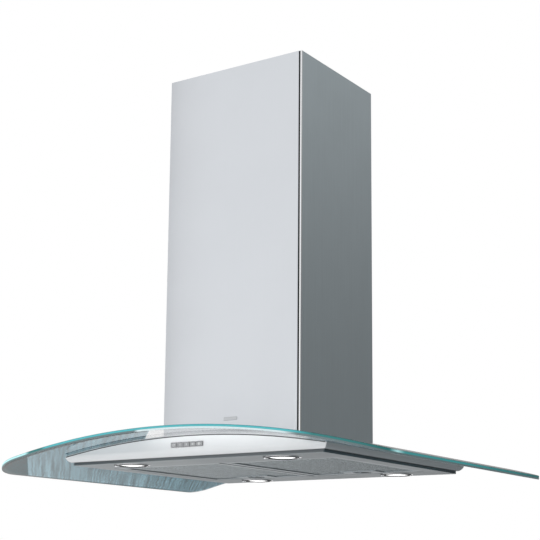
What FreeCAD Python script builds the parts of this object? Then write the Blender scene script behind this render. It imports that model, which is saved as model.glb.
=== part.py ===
import FreeCAD, Part
import math
import os

import Sketcher
from FreeCAD import Placement, Rotation, Vector

# Ceiling-hung cooker hood with an arched glass canopy.
#
# Frame: millimetres, +Z up, +X to the right along the front, +Y to the back.
# The origin is the middle of the ceiling plate's upper face, which is bolted to the
# ceiling, so every piece lies below it. Everything under the telescopic joint hangs
# from the lower posts and moves as one when the hood is set higher or lower.

# ---------------------------------------------------------------- driving sizes
SIZES = (
    ("hood_drop", 823.0),         # ceiling to the underside of the tray
    ("glass_width", 900.0),
    ("glass_depth", 710.0),
    ("glass_thick", 8.0),
    ("glass_radius", 1718.0),     # upper face of the arch
    ("glass_front", 81.0),        # corner radius at the front
    ("glass_rear", 34.0),
    ("glass_arris", 0.8),
    ("crown_rise", 55.0),         # underside of the tray to the top of the arch
    ("gasket_thick", 2.0),
    ("gasket_inset", 4.0),
    ("gasket_band", 12.0),
    ("body_width", 611.0),
    ("body_depth", 555.0),
    ("panel_sheet", 1.2),
    ("panel_inset", 9.0),         # how far the panels curve in towards the tray
    ("panel_curve", 13.5),        # height of that curve
    ("panel_seam", 0.15),
    ("tray_lip", 6.0),            # dark band between the panels and the underside
    ("tray_reveal", 3.0),         # tray wall behind the panels' lower edge
    ("tray_wall", 13.0),
    ("tray_corner", 4.0),
    ("tray_sheet", 1.2),
    ("deck_sheet", 1.2),
    ("deck_gap_x", 8.0),          # deck opening beyond the upright posts
    ("filter_width", 258.0),
    ("filter_depth", 350.0),
    ("filter_thick", 9.0),
    ("filter_rim", 12.0),
    ("filter_gap", 0.8),
    ("filter_lift", 0.3),         # underside of the filters above the tray's
    ("mesh_thick", 5.0),
    ("mesh_tongue", 3.0),
    ("mesh_slack", 0.25),
    ("rail_width", 8.0),
    ("pivot_pin", 2.0),           # radius of the filter's pivot pins
    ("pivot_reach", 1.9),
    ("pivot_slack", 0.1),
    ("grip_width", 84.0),         # plate round the filter's finger grip
    ("grip_depth", 46.0),
    ("grip_round", 19.0),
    ("latch_width", 26.0),
    ("latch_thick", 2.6),
    ("latch_length", 16.0),
    ("latch_reach", 3.4),
    ("latch_travel", 4.0),
    ("slide_slack", 0.35),
    ("lamp_x", 177.0),
    ("lamp_y", 220.5),
    ("bezel_round", 34.5),
    ("bezel_proud", 2.4),
    ("barrel_round", 28.4),
    ("lamp_hole", 28.8),
    ("lens_round", 24.6),
    ("lens_dome", 3.6),
    ("cup_height", 26.0),
    ("bulb_round", 4.6),
    ("control_width", 75.5),
    ("control_height", 10.0),
    ("control_rise", 27.0),       # middle of the control strip above the underside
    ("button_count", 5.0),
    ("button_width", 13.2),
    ("button_height", 7.2),
    ("button_proud", 1.4),
    ("button_travel", 1.5),
    ("chimney_width", 328.0),
    ("chimney_depth", 284.0),
    ("cover_sheet", 1.0),
    ("cover_bend", 2.0),
    ("cover_flange", 22.0),
    ("cover_seat", 0.4),          # lower edge of the cover above the glass
    ("ceiling_gap", 1.5),
    ("telescope_gap", 2.4),       # upper cover inside the lower one
    ("upper_cover", 400.0),
    ("vent_width", 60.0),
    ("vent_height", 5.0),
    ("vent_pitch", 12.0),
    ("plate_sheet", 2.5),
    ("plate_flange", 15.0),
    ("post_span_x", 300.0),       # outside of the upper posts
    ("post_span_y", 250.0),
    ("post_leg", 25.0),
    ("post_sheet", 2.0),
    ("post_slack", 0.4),
    ("upper_post", 417.0),
    ("lower_post_gap", 60.0),     # top of the lower posts below the ceiling
    ("post_hole", 3.2),
    ("post_pitch", 60.0),
    ("post_rows", 4.0),
    ("brace_sheet", 1.5),
    ("brace_height", 20.0),
    ("bolt_span_x", 240.0),
    ("bolt_span_y", 190.0),
    ("bolt_hole", 4.0),
    ("duct_round", 74.5),         # outside of the outlet collar
    ("duct_sheet", 1.0),
    ("duct_hole", 80.0),
    ("collar_height", 48.0),
    ("outlet_back", 25.0),        # collar behind the middle
    ("base_margin", 10.0),
    ("box_height", 262.0),
    ("box_sheet", 1.0),
    ("wheel_round", 75.0),
    ("wheel_inner", 60.0),
    ("wheel_width", 120.0),
    ("wheel_gap", 10.0),          # wheel to the casing at the tongue
    ("blade_count", 32.0),
    ("blade_sheet", 0.8),
    ("volute_step", 9.0),         # side of the square that the casing's arcs turn about
    ("volute_width", 140.0),
    ("volute_sheet", 1.5),
    ("volute_lift", 5.0),
    ("outlet_width", 74.0),
    ("inlet_round", 62.0),
    ("motor_round", 40.0),
    ("motor_length", 60.0),
    ("shaft_round", 4.0),
    ("flap_sheet", 1.0),
    ("flap_slack", 0.6),
    ("axle_round", 2.0),
    ("clamp_width", 10.0),
    ("clamp_thick", 3.0),
    ("clamp_screw", 3.0),
)


class Size:
    """A length that is known both as a number and as an expression on the sheet."""

    def __init__(self, text, value):
        self.text = text
        self.value = value

    def __add__(self, other):
        other = size(other)
        return Size(f"({self.text} + {other.text})", self.value + other.value)

    def __sub__(self, other):
        other = size(other)
        return Size(f"({self.text} - {other.text})", self.value - other.value)

    def __mul__(self, other):
        other = size(other)
        return Size(f"({self.text} * {other.text})", self.value * other.value)

    def __truediv__(self, other):
        other = size(other)
        return Size(f"({self.text} / {other.text})", self.value / other.value)

    def __rsub__(self, other):
        return size(other) - self

    def __neg__(self):
        return Size(f"(0 - {self.text})", -self.value)

    __radd__ = __add__
    __rmul__ = __mul__


def size(thing):
    """Turn a plain number into a Size; a Size stays as it is."""
    if isinstance(thing, Size):
        return thing
    return Size(f"({float(thing):.6f})", float(thing))


def root(thing):
    """Square root of a Size."""
    return Size(f"sqrt({thing.text})", math.sqrt(thing.value))


class Sheet:
    """The driving sizes as cells of a spreadsheet, read back as attributes."""

    def __init__(self, document, table):
        self.cells = document.addObject("Spreadsheet::Sheet", "Sizes")
        self.values = dict(table)
        for row, (alias, value) in enumerate(table, start=1):
            self.cells.set(f"A{row}", alias)
            self.cells.set(f"B{row}", str(value))
            self.cells.setAlias(f"B{row}", alias)

    def __getattr__(self, alias):
        return Size(f"Sizes.{alias}", self.values[alias])


doc = FreeCAD.newDocument("IslandHood")
S = Sheet(doc, SIZES)
doc.recompute()

# ---------------------------------------------------------------- levels and places
TRAY_Z = -S.hood_drop
CROWN_Z = TRAY_Z + S.crown_rise
ARCH_Z = CROWN_Z - S.glass_radius                  # axis of every arched face
GLASS_LOW = S.glass_radius - S.glass_thick
GASKET_LOW = GLASS_LOW - S.gasket_thick
DECK_LOW = GASKET_LOW - S.deck_sheet
LIP_Z = TRAY_Z + S.tray_lip
BODY_X = S.body_width / 2
BODY_Y = S.body_depth / 2
TRAY_X = BODY_X - S.panel_inset - S.tray_reveal
TRAY_Y = BODY_Y - S.panel_inset - S.tray_reveal
POST_X = S.post_span_x / 2
POST_Y = S.post_span_y / 2
LOWER_X = POST_X - S.post_sheet - S.post_slack     # outside of the lower posts
LOWER_Y = POST_Y - S.post_sheet - S.post_slack
CHIMNEY_X = S.chimney_width / 2
CHIMNEY_Y = S.chimney_depth / 2
UPPER_X = CHIMNEY_X - S.cover_sheet - S.telescope_gap
UPPER_Y = CHIMNEY_Y - 2 * S.cover_sheet - S.telescope_gap
OPEN_X = POST_X + S.deck_gap_x                     # opening in the deck
OPEN_Y = POST_Y + S.deck_gap_x
BASE_X = OPEN_X + 2 * S.base_margin
BASE_Y = OPEN_Y + 2 * S.base_margin
BASE_TOP = ARCH_Z + root(DECK_LOW * DECK_LOW - BASE_X * BASE_X) - 0.1
BOX_X = LOWER_X - S.post_sheet - 0.3
BOX_Y = LOWER_Y - S.post_sheet - 0.3
BOX_TOP = BASE_TOP + S.box_height
WHEEL_Y = -S.volute_step
VOLUTE_LOW = S.wheel_round + S.wheel_gap           # smallest of the casing's four arcs
WHEEL_Z = BASE_TOP + S.volute_lift + VOLUTE_LOW + 2.5 * S.volute_step + S.volute_sheet
VOLUTE_TOP = WHEEL_Z + S.wheel_round + 40
FILTER_LOW = TRAY_Z + S.filter_lift
FILTER_TOP = FILTER_LOW + S.filter_thick
FILTER_IN = S.rail_width / 2 + S.filter_gap        # edge beside the middle rail
FILTER_OUT = FILTER_IN + S.filter_width
HATCH_X = FILTER_OUT + S.filter_gap                # opening in the tray
HATCH_Y = S.filter_depth / 2 + S.filter_gap
PIVOT_Y = -(S.filter_depth / 2) + S.filter_thick / 2
PIVOT_Z = FILTER_LOW + S.filter_thick / 2
CONTROL_Z = TRAY_Z + S.control_rise

NODES = {}


# ---------------------------------------------------------------- building blocks
def bind(thing, prop, length):
    """Tie one property to an expression on the sheet."""
    thing.setExpression(prop, size(length).text)


def move(thing, x=0, y=0, z=0):
    """Place an object by three bound coordinates."""
    for axis, length in (("x", x), ("y", y), ("z", z)):
        bind(thing, f"Placement.Base.{axis}", length)
    return thing


def node(name, thing):
    """Record a finished sub-part under the name of its file."""
    thing.Label = name
    NODES[name] = thing
    return thing


def box(name, x, y, z):
    """Box between two bound places along each axis."""
    thing = doc.addObject("Part::Box", name)
    for prop, (low, high) in (("Length", x), ("Width", y), ("Height", z)):
        bind(thing, prop, size(high) - low)
    return move(thing, x[0], y[0], z[0])


def rod(name, radius, length, x=0, y=0, z=0, axis="Z"):
    """Cylinder that starts at a bound point and runs along an axis."""
    thing = doc.addObject("Part::Cylinder", name)
    turns = {"X": Rotation(Vector(0, 1, 0), 90), "Y": Rotation(Vector(1, 0, 0), -90), "Z": Rotation()}
    thing.Placement = Placement(Vector(), turns[axis])
    bind(thing, "Radius", radius)
    bind(thing, "Height", length)
    return move(thing, x, y, z)


def cut(name, base, *tools):
    """Base without its tools."""
    thing = doc.addObject("Part::Cut", name)
    thing.Base = base
    thing.Tool = tools[0] if len(tools) == 1 else group(name + "_tools", *tools)
    return thing


def group(name, *parts):
    """Several separate solids in one object."""
    thing = doc.addObject("Part::Compound", name)
    thing.Links = list(parts)
    return thing


def fuse(name, *parts):
    """Union of several shapes."""
    thing = doc.addObject("Part::MultiFuse", name)
    thing.Shapes = list(parts)
    thing.Refine = True
    return thing


def common(name, *parts):
    """What several shapes share."""
    thing = doc.addObject("Part::MultiCommon", name)
    thing.Shapes = list(parts)
    return thing


def mirror(name, source, normal):
    """Mirror image through the middle plane across the normal."""
    thing = doc.addObject("Part::Mirroring", name)
    thing.Source = source
    thing.Normal = normal
    return thing


def four(name, source):
    """A corner piece and its images in the other three corners, as one group."""
    across = mirror(name + "_across", source, Vector(1, 0, 0))
    behind = mirror(name + "_behind", source, Vector(0, 1, 0))
    opposite = mirror(name + "_opposite", across, Vector(0, 1, 0))
    return group(name, source, across, behind, opposite)


def sketch(body, name, plane, offset=0):
    """Sketch on one of the body's own origin planes, moved along its normal."""
    thing = body.newObject("Sketcher::SketchObject", name)
    support = [item for item in body.Origin.OriginFeatures if item.Role == plane][0]
    thing.AttachmentSupport = [(support, "")]
    thing.MapMode = "FlatFace"
    bind(thing, "AttachmentOffset.Base.z", offset)
    return thing


def pin_vertex(drawing, edge, point, label, x, y):
    """Hold one vertex of a sketch at a bound place."""
    for kind, length in (("DistanceX", x), ("DistanceY", y)):
        name = f"{label}{kind[-1]}"
        index = drawing.addConstraint(Sketcher.Constraint(kind, -1, 1, edge, point, size(length).value))
        drawing.renameConstraint(index, name)
        drawing.setExpression(f"Constraints.{name}", size(length).text)


def arc_between(start, end, radius, bend):
    """Arc of a circle whose centre lies left (bend +1) or right (-1) of the way."""
    chord = end - start
    left = Vector(-chord.y, chord.x, 0).normalize()
    reach = math.sqrt(max(radius ** 2 - (chord.Length / 2) ** 2, 0.0))
    centre = (start + end) * 0.5 + left * (bend * reach)
    ends = (start, end) if bend > 0 else (end, start)
    angles = [math.atan2(place.y - centre.y, place.x - centre.x) for place in ends]
    if angles[1] <= angles[0]:
        angles[1] += 2 * math.pi
    return Part.ArcOfCircle(Part.Circle(centre, Vector(0, 0, 1), radius), *angles)


def outline(drawing, points, arcs=None):
    """Closed outline through bound points.

    arcs maps the number of a side to (radius, bend): bend is +1 where the side's centre
    lies to the left of the way from its first point to its second, and -1 to the right.
    """
    arcs = arcs or {}
    first = drawing.GeometryCount
    count = len(points)
    places = [Vector(size(x).value, size(y).value, 0) for x, y in points]
    begins = []
    for side, start in enumerate(places):
        end = places[(side + 1) % count]
        if side in arcs:
            radius, bend = arcs[side]
            drawing.addGeometry(arc_between(start, end, radius.value, bend), False)
            begins.append(1 if bend > 0 else 2)
        else:
            drawing.addGeometry(Part.LineSegment(start, end), False)
            begins.append(1)
    for side in range(count):
        following = (side + 1) % count
        drawing.addConstraint(Sketcher.Constraint("Coincident", first + side, 3 - begins[side],
                                                  first + following, begins[following]))
    for side, (x, y) in enumerate(points):
        pin_vertex(drawing, first + side, begins[side], f"p{first + side}", x, y)
    for side, (radius, _) in arcs.items():
        index = drawing.addConstraint(Sketcher.Constraint("Radius", first + side, radius.value))
        drawing.renameConstraint(index, f"r{first + side}")
        drawing.setExpression(f"Constraints.r{first + side}", radius.text)


def rectangle(x, y):
    """Corners of a rectangle between two bound places along each axis."""
    return [(x[0], y[0]), (x[1], y[0]), (x[1], y[1]), (x[0], y[1])]


def new_body(name):
    """An empty body."""
    return doc.addObject("PartDesign::Body", name)


def pad(body, drawing, length, both=False):
    """Raise a sketch by a bound length."""
    feature = body.newObject("PartDesign::Pad", body.Name + "_pad")
    feature.Profile = drawing
    bind(feature, "Length", length)
    feature.Midplane = both
    drawing.Visibility = False
    return feature


def spin(body, drawing, plane_axis="V_Axis"):
    """Turn a sketch once round its own upright axis."""
    feature = body.newObject("PartDesign::Revolution", body.Name + "_turned")
    feature.Profile = drawing
    feature.ReferenceAxis = (drawing, [plane_axis])
    feature.Angle = 360
    return feature


def soften(body, feature, radius, chosen):
    """Fillet the edges of a feature that a test picks."""
    doc.recompute()
    names = [f"Edge{i + 1}" for i, edge in enumerate(feature.Shape.Edges) if chosen(edge)]
    fillet = body.newObject("PartDesign::Fillet", body.Name + "_rounds")
    fillet.Base = (feature, names)
    bind(fillet, "Radius", radius)
    return fillet


def upright(edge):
    """True for a straight edge along Z."""
    way = edge.Vertexes[-1].Point - edge.Vertexes[0].Point
    return len(edge.Vertexes) == 2 and abs(way.z) > 0.999 * edge.Length


def front_edge(edge):
    """True for an upright edge in front of the middle."""
    return upright(edge) and edge.CenterOfMass.y < 0


def rear_edge(edge):
    """True for an upright edge behind the middle."""
    return upright(edge) and edge.CenterOfMass.y > 0


def slab(name, x, y, z, corner=0, rear=None):
    """Plate between bound places, with rounded upright edges; the rear ones may have their own radius."""
    body = new_body(name)
    drawing = sketch(body, name + "_plan", "XY_Plane", z[0])
    outline(drawing, rectangle(x, y))
    raised = pad(body, drawing, size(z[1]) - z[0])
    if rear is not None:
        raised = soften(body, raised, corner, front_edge)
        soften(body, raised, rear, rear_edge)
    elif size(corner).value > 0:
        soften(body, raised, corner, upright)
    return body


def arch(name, radius, reach):
    """Solid of every point below an arched face, as a cylinder along the depth."""
    return rod(name, radius, 2 * reach, 0, -size(reach), ARCH_Z, "Y")


def shell_between(name, outer, inner, prism, reach):
    """The part of a prism that lies between two arched faces."""
    ring = cut(name + "_ring", arch(name + "_over", outer, reach), arch(name + "_under", inner, reach + 1))
    return common(name, ring, prism)


def lathe(name, points, arcs=None):
    """Body of revolution about Z from an outline of (radius, height)."""
    body = new_body(name)
    drawing = sketch(body, name + "_profile", "XZ_Plane")
    outline(drawing, points, arcs)
    spin(body, drawing)
    return body


# ---------------------------------------------------------------- ceiling frame
def ceiling_plate():
    """Folded plate with four bolt holes and the hole that the duct passes through."""
    edge_x = UPPER_X - S.cover_sheet - 0.2
    edge_y = UPPER_Y - S.cover_sheet - 0.2
    outer = slab("plate_outer", (-edge_x, edge_x), (-edge_y, edge_y), (-S.plate_flange, 0), S.cover_bend)
    inner_x = edge_x - S.plate_sheet
    inner_y = edge_y - S.plate_sheet
    inner = box("plate_inner", (-inner_x, inner_x), (-inner_y, inner_y), (-S.plate_flange - 1, -S.plate_sheet))
    duct = rod("plate_duct", S.duct_hole, 3 * S.plate_sheet, 0, S.outlet_back, -2 * S.plate_sheet)
    bolt = rod("plate_bolt", S.bolt_hole, 3 * S.plate_sheet, S.bolt_span_x / 2, S.bolt_span_y / 2,
               -2 * S.plate_sheet)
    return node("ceiling_plate", cut("ceiling_plate_cut", outer, inner, duct, four("plate_bolts", bolt)))


def corner_post(name, reach_x, reach_y, low, high, first_hole):
    """Angle section in the corner of the frame, with a row of fixing holes."""
    body = new_body(name)
    drawing = sketch(body, name + "_angle", "XY_Plane", low)
    inner_x = reach_x - S.post_sheet
    inner_y = reach_y - S.post_sheet
    outline(drawing, [(reach_x - S.post_leg, inner_y), (inner_x, inner_y), (inner_x, reach_y - S.post_leg),
                      (reach_x, reach_y - S.post_leg), (reach_x, reach_y), (reach_x - S.post_leg, reach_y)])
    raised = pad(body, drawing, high - low)
    doc.recompute()
    hole = sketch(body, name + "_hole", "XZ_Plane", -reach_y - 1)
    hole.addGeometry(Part.Circle(Vector(0, 0, 0), Vector(0, 0, 1), S.post_hole.value), False)
    index = hole.addConstraint(Sketcher.Constraint("Radius", 0, S.post_hole.value))
    hole.renameConstraint(index, "hole")
    hole.setExpression("Constraints.hole", S.post_hole.text)
    pin_vertex(hole, 0, 3, "middle", reach_x - S.post_leg / 2 - S.post_sheet / 2, first_hole)
    pocket = body.newObject("PartDesign::Pocket", name + "_drilled")
    pocket.Profile = hole
    bind(pocket, "Length", 2 * S.post_sheet + 2)
    doc.recompute()
    if pocket.Shape.Volume > raised.Shape.Volume - 1:
        pocket.Reversed = True
    row = body.newObject("PartDesign::LinearPattern", name + "_row")
    row.Originals = [pocket]
    row.Direction = (hole, ["V_Axis"])
    bind(row, "Length", S.post_pitch * (S.post_rows - 1))
    bind(row, "Occurrences", S.post_rows)
    body.Tip = row
    return body


def ring_frame(name, outer_x, outer_y, sheet, low, high):
    """Rectangular hoop of sheet on edge."""
    outside = box(name + "_out", (-outer_x, outer_x), (-outer_y, outer_y), (low, high))
    inside = box(name + "_in", (sheet - outer_x, outer_x - sheet), (sheet - outer_y, outer_y - sheet),
                 (low - 1, high + 1))
    return cut(name + "_hoop", outside, inside)


def frame_posts():
    """Upper posts under the ceiling, lower posts sliding inside them, and their braces."""
    top = -S.plate_sheet
    foot = top - S.upper_post
    node("upper_posts", four("upper_posts_all", corner_post("upper_angle", POST_X, POST_Y, foot, top,
                                                            foot + S.post_leg)))
    node("upper_brace", ring_frame("upper_brace", POST_X + S.brace_sheet + 0.1, POST_Y + S.brace_sheet + 0.1,
                                   S.brace_sheet, foot, foot + S.brace_height))
    crest = -S.lower_post_gap
    node("lower_posts", four("lower_posts_all", corner_post("lower_angle", LOWER_X, LOWER_Y, BASE_TOP, crest,
                                                            crest - S.post_leg - 3 * S.post_pitch)))
    inner_x = LOWER_X - S.post_sheet - 0.1
    inner_y = LOWER_Y - S.post_sheet - 0.1
    node("lower_brace", ring_frame("lower_brace", inner_x, inner_y, S.brace_sheet,
                                   crest - S.brace_height, crest))


# ---------------------------------------------------------------- chimney
def cover_tube(name, reach_x, front, back, z, sheet):
    """Square tube of folded sheet with bent corners."""
    outer = slab(name + "_out", (-reach_x, reach_x), (front, back), z, S.cover_bend)
    inner = slab(name + "_in", (sheet - reach_x, reach_x - sheet), (front + sheet, back - sheet),
                 (z[0] - 1, z[1] + 1), S.cover_bend - sheet)
    return cut(name + "_tube", outer, inner)


def lower_covers():
    """Front plate over a wrap-round cover whose folded edges stand beside it."""
    low = CROWN_Z - 12
    high = -S.ceiling_gap
    clear = arch("cover_seat_arch", S.glass_radius + S.cover_seat, BODY_Y)
    tube = cover_tube("lower_wrap", CHIMNEY_X, -CHIMNEY_Y + S.cover_sheet, CHIMNEY_Y, (low, high), S.cover_sheet)
    window_x = CHIMNEY_X - S.cover_flange
    window = box("wrap_window", (-window_x, window_x), (-CHIMNEY_Y, -CHIMNEY_Y + 3 * S.cover_sheet),
                 (low - 1, high + 1))
    node("chimney_wrap", cut("chimney_wrap_cut", tube, window, clear))
    edge_x = CHIMNEY_X - 1.5 * S.cover_sheet
    plate = box("front_plate", (-edge_x, edge_x), (-CHIMNEY_Y, -CHIMNEY_Y + S.cover_sheet), (low, high))
    node("chimney_front", cut("chimney_front_cut", plate, clear))


def vents(name, side_x, y_middle, top):
    """Row of vent slots through one side of the upper cover."""
    slots = []
    for row in range(4):
        high = top - 30 - row * S.vent_pitch
        slots.append(box(f"{name}_{row}", (side_x - 3, side_x + 3),
                         (y_middle - S.vent_width / 2, y_middle + S.vent_width / 2),
                         (high - S.vent_height, high)))
    return group(name, *slots)


def upper_covers():
    """Telescopic inner cover in two halves, with vent slots at the top."""
    high = -S.ceiling_gap
    low = high - S.upper_cover
    halves = (("upper_cover_front", -UPPER_Y - 5, -0.1), ("upper_cover_rear", 0.1, UPPER_Y + 5))
    for name, front, back in halves:
        tube = cover_tube(name, UPPER_X, -UPPER_Y, UPPER_Y, (low, high), S.cover_sheet)
        half = box(name + "_part", (-UPPER_X - 5, UPPER_X + 5), (front, back), (low - 5, high + 5))
        middle = (size(front) + back) / 2
        shell = common(name + "_shell", tube, half)
        node(name, cut(name + "_vented", shell, vents(name + "_left_vents", -UPPER_X, middle, high),
                       vents(name + "_right_vents", UPPER_X, middle, high)))


# ---------------------------------------------------------------- canopy
def glass_canopy():
    """Arched pane with rounded corners, an opening for the frame and four screw holes."""
    half_x = S.glass_width / 2
    half_y = S.glass_depth / 2
    span = (TRAY_Z - 60, CROWN_Z + 10)
    pane = slab("pane_plan", (-half_x, half_x), (-half_y, half_y), span, S.glass_front, S.glass_rear)
    arched = shell_between("pane_arched", S.glass_radius, GLASS_LOW, pane, half_y + 10)
    hole_x = POST_X + 2
    hole_y = POST_Y + 2
    opening = slab("pane_opening", (-hole_x, hole_x), (-hole_y, hole_y), span, 6)
    screw = rod("pane_screw", S.clamp_screw + 1, 90, CLAMP_X, CLAMP_Y, CROWN_Z - 60)
    return node("glass_canopy", cut("glass_canopy_cut", arched, opening, four("pane_screws", screw)))


CLAMP_X = S.post_span_x / 2 - 30
CLAMP_Y = POST_Y + 3 + S.clamp_width / 2


def canopy_deck():
    """Arched steel deck under the glass, open in the middle for the frame and the air."""
    plan = slab("deck_plan", (-BODY_X, BODY_X), (-BODY_Y, BODY_Y), (TRAY_Z, CROWN_Z), 1.5)
    sheet = shell_between("deck_arched", GASKET_LOW, DECK_LOW, plan, BODY_Y + 10)
    opening = box("deck_opening", (-OPEN_X, OPEN_X), (-POST_Y - 1, POST_Y + 1), (TRAY_Z, CROWN_Z))
    screw = rod("deck_screw", S.clamp_screw + 0.2, 90, CLAMP_X, CLAMP_Y, CROWN_Z - 60)
    node("canopy_deck", cut("canopy_deck_cut", sheet, opening, four("deck_screws", screw)))


def glass_gasket():
    """Soft strip between the deck and the glass, all round the edge."""
    out_x = BODY_X - S.gasket_inset
    out_y = BODY_Y - S.gasket_inset
    plan = slab("gasket_plan", (-out_x, out_x), (-out_y, out_y), (TRAY_Z, CROWN_Z), 3)
    in_x = out_x - S.gasket_band
    in_y = out_y - S.gasket_band
    hollow = box("gasket_hollow", (-in_x, in_x), (-in_y, in_y), (TRAY_Z - 1, CROWN_Z + 1))
    strip = shell_between("gasket_arched", GLASS_LOW, GASKET_LOW, plan, BODY_Y + 10)
    node("glass_gasket", cut("glass_gasket_cut", strip, hollow))


def clamp_bars():
    """Two curved bars that hold the glass down on the deck, with their four screws."""
    reach = POST_X - 6
    strip = slab("clamp_plan", (-reach, reach), (CLAMP_Y - S.clamp_width / 2, CLAMP_Y + S.clamp_width / 2),
                 (TRAY_Z, CROWN_Z + 20), 3)
    bar = shell_between("clamp_arched", S.glass_radius + S.clamp_thick, S.glass_radius, strip, BODY_Y)
    left = rod("clamp_left", S.clamp_screw + 0.2, 90, -CLAMP_X, CLAMP_Y, CROWN_Z - 60)
    right = rod("clamp_right", S.clamp_screw + 0.2, 90, CLAMP_X, CLAMP_Y, CROWN_Z - 60)
    drilled = cut("clamp_bar", bar, left, right)
    node("clamp_bars", group("clamp_bars_both", drilled, mirror("clamp_front", drilled, Vector(0, 1, 0))))
    drop = root(S.glass_radius * S.glass_radius - CLAMP_X * CLAMP_X) - S.glass_radius
    seat = CROWN_Z + drop + S.clamp_thick
    shank = rod("screw_shank", S.clamp_screw, 24, CLAMP_X, CLAMP_Y, seat - 22)
    head = rod("screw_head", S.clamp_screw * 1.8, 3.5, CLAMP_X, CLAMP_Y, seat + 0.7)
    node("clamp_screws", four("clamp_screws_all", fuse("clamp_screw_one", shank, head)))


def panel(name, reach, span, angle):
    """Side of the body: upright sheet, curved in below, with a folded edge over the tray."""
    sheet = S.panel_sheet
    bend = (S.panel_curve * S.panel_curve + S.panel_inset * S.panel_inset) / (2 * S.panel_inset)
    level = LIP_Z + S.panel_curve
    inner = bend - sheet
    fold_y = -reach + bend - root(inner * inner - (S.panel_curve - sheet) * (S.panel_curve - sheet))
    body = new_body(name + "_folded")
    drawing = sketch(body, name + "_section", "YZ_Plane")
    outline(drawing,
            [(-reach, CROWN_Z), (-reach, level), (-reach + S.panel_inset, LIP_Z),
             (-reach + S.panel_inset + S.tray_reveal - 0.2, LIP_Z),
             (-reach + S.panel_inset + S.tray_reveal - 0.2, LIP_Z + sheet), (fold_y, LIP_Z + sheet),
             (-reach + sheet, level), (-reach + sheet, CROWN_Z)],
            {1: (bend, 1), 5: (inner, -1)})
    pad(body, drawing, 2 * span, both=True)
    turn = Placement(Vector(), Rotation(Vector(0, 0, 1), angle))
    body.Placement = turn
    depth = 2 * S.panel_inset + S.tray_reveal
    mitre = doc.addObject("Part::Wedge", name + "_mitre")
    mitre.Placement = turn
    for prop, length in (("Xmin", -span + S.panel_seam), ("Xmax", span - S.panel_seam),
                         ("X2min", -span + S.panel_seam + depth), ("X2max", span - S.panel_seam - depth),
                         ("Ymin", -reach), ("Ymax", -reach + depth), ("Zmin", LIP_Z - 1),
                         ("Z2min", LIP_Z - 1), ("Zmax", CROWN_Z + 1), ("Z2max", CROWN_Z + 1)):
        bind(mitre, prop, length)
    under = arch(name + "_arch", DECK_LOW, BODY_Y + 10)
    return common(name + "_mitred", body, mitre, under)


def body_panels():
    """Four mitred panels; the front one is open for the control strip."""
    front = panel("front_panel", BODY_Y, BODY_X, 0)
    half_x = S.control_width / 2 - 1.5
    half_z = S.control_height / 2 - 0.6
    window = box("control_window", (-half_x, half_x), (-BODY_Y - 1, -BODY_Y + 2 * S.panel_sheet),
                 (CONTROL_Z - half_z, CONTROL_Z + half_z))
    node("front_panel", cut("front_panel_cut", front, window))
    node("rear_panel", panel("rear_panel", BODY_Y, BODY_X, 180))
    node("right_panel", panel("right_panel", BODY_X, BODY_Y, 90))
    node("left_panel", panel("left_panel", BODY_X, BODY_Y, -90))


def bottom_tray():
    """Pan under the body: filter hatch with turned-up edges and four lamp holes."""
    wall = TRAY_Z + S.tray_wall
    outer = slab("tray_outer", (-TRAY_X, TRAY_X), (-TRAY_Y, TRAY_Y), (TRAY_Z, wall), S.tray_corner)
    in_x = TRAY_X - S.tray_sheet
    in_y = TRAY_Y - S.tray_sheet
    inner = slab("tray_inner", (-in_x, in_x), (-in_y, in_y), (TRAY_Z + S.tray_sheet, wall + 1),
                 S.tray_corner - S.tray_sheet)
    rim_x = HATCH_X + S.tray_sheet
    rim_y = HATCH_Y + S.tray_sheet
    rim = box("hatch_rim", (-rim_x, rim_x), (-rim_y, rim_y), (TRAY_Z, wall))
    pan = fuse("tray_pan", cut("tray_shell", outer, inner), rim)
    hatch = box("hatch", (-HATCH_X, HATCH_X), (-HATCH_Y, HATCH_Y), (TRAY_Z - 1, wall + 1))
    lamp = rod("lamp_hole", S.lamp_hole, 3 * S.tray_sheet, S.lamp_x, S.lamp_y, TRAY_Z - S.tray_sheet)
    pivot = rod("pivot_hole", S.pivot_pin + S.pivot_slack, 2 * rim_x + 4, -rim_x - 2, PIVOT_Y, PIVOT_Z, "X")
    slots = [latch_slot("tray_slot_left", -1), latch_slot("tray_slot_right", 1)]
    node("bottom_tray", cut("bottom_tray_cut", pan, hatch, four("lamp_holes", lamp), pivot, *slots))
    half = S.rail_width / 2
    bar = box("rail_bar", (-half, half), (-HATCH_Y + 0.1, HATCH_Y - 0.1), (FILTER_LOW + 1, wall))
    through = rod("rail_hole", S.pivot_pin + S.pivot_slack, 2 * S.rail_width, -S.rail_width, PIVOT_Y, PIVOT_Z, "X")
    node("filter_rail", cut("filter_rail_cut", bar, through))


# ---------------------------------------------------------------- filters
FILTER_MID = FILTER_IN + S.filter_width / 2
FILTER_BACK = S.filter_depth / 2
LATCH_LOW = FILTER_LOW + 3.4
LATCH_IN = FILTER_BACK - S.latch_length


def latch_slot(name, side):
    """Window in the hatch's rear edge that the filter's latch enters."""
    half = S.latch_width / 2 + 2 * S.slide_slack
    middle = side * FILTER_MID
    return box(name, (middle - half, middle + half), (HATCH_Y - 1, HATCH_Y + S.tray_sheet + 1),
               (LATCH_LOW - S.slide_slack, LATCH_LOW + S.latch_thick + S.slide_slack))


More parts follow.
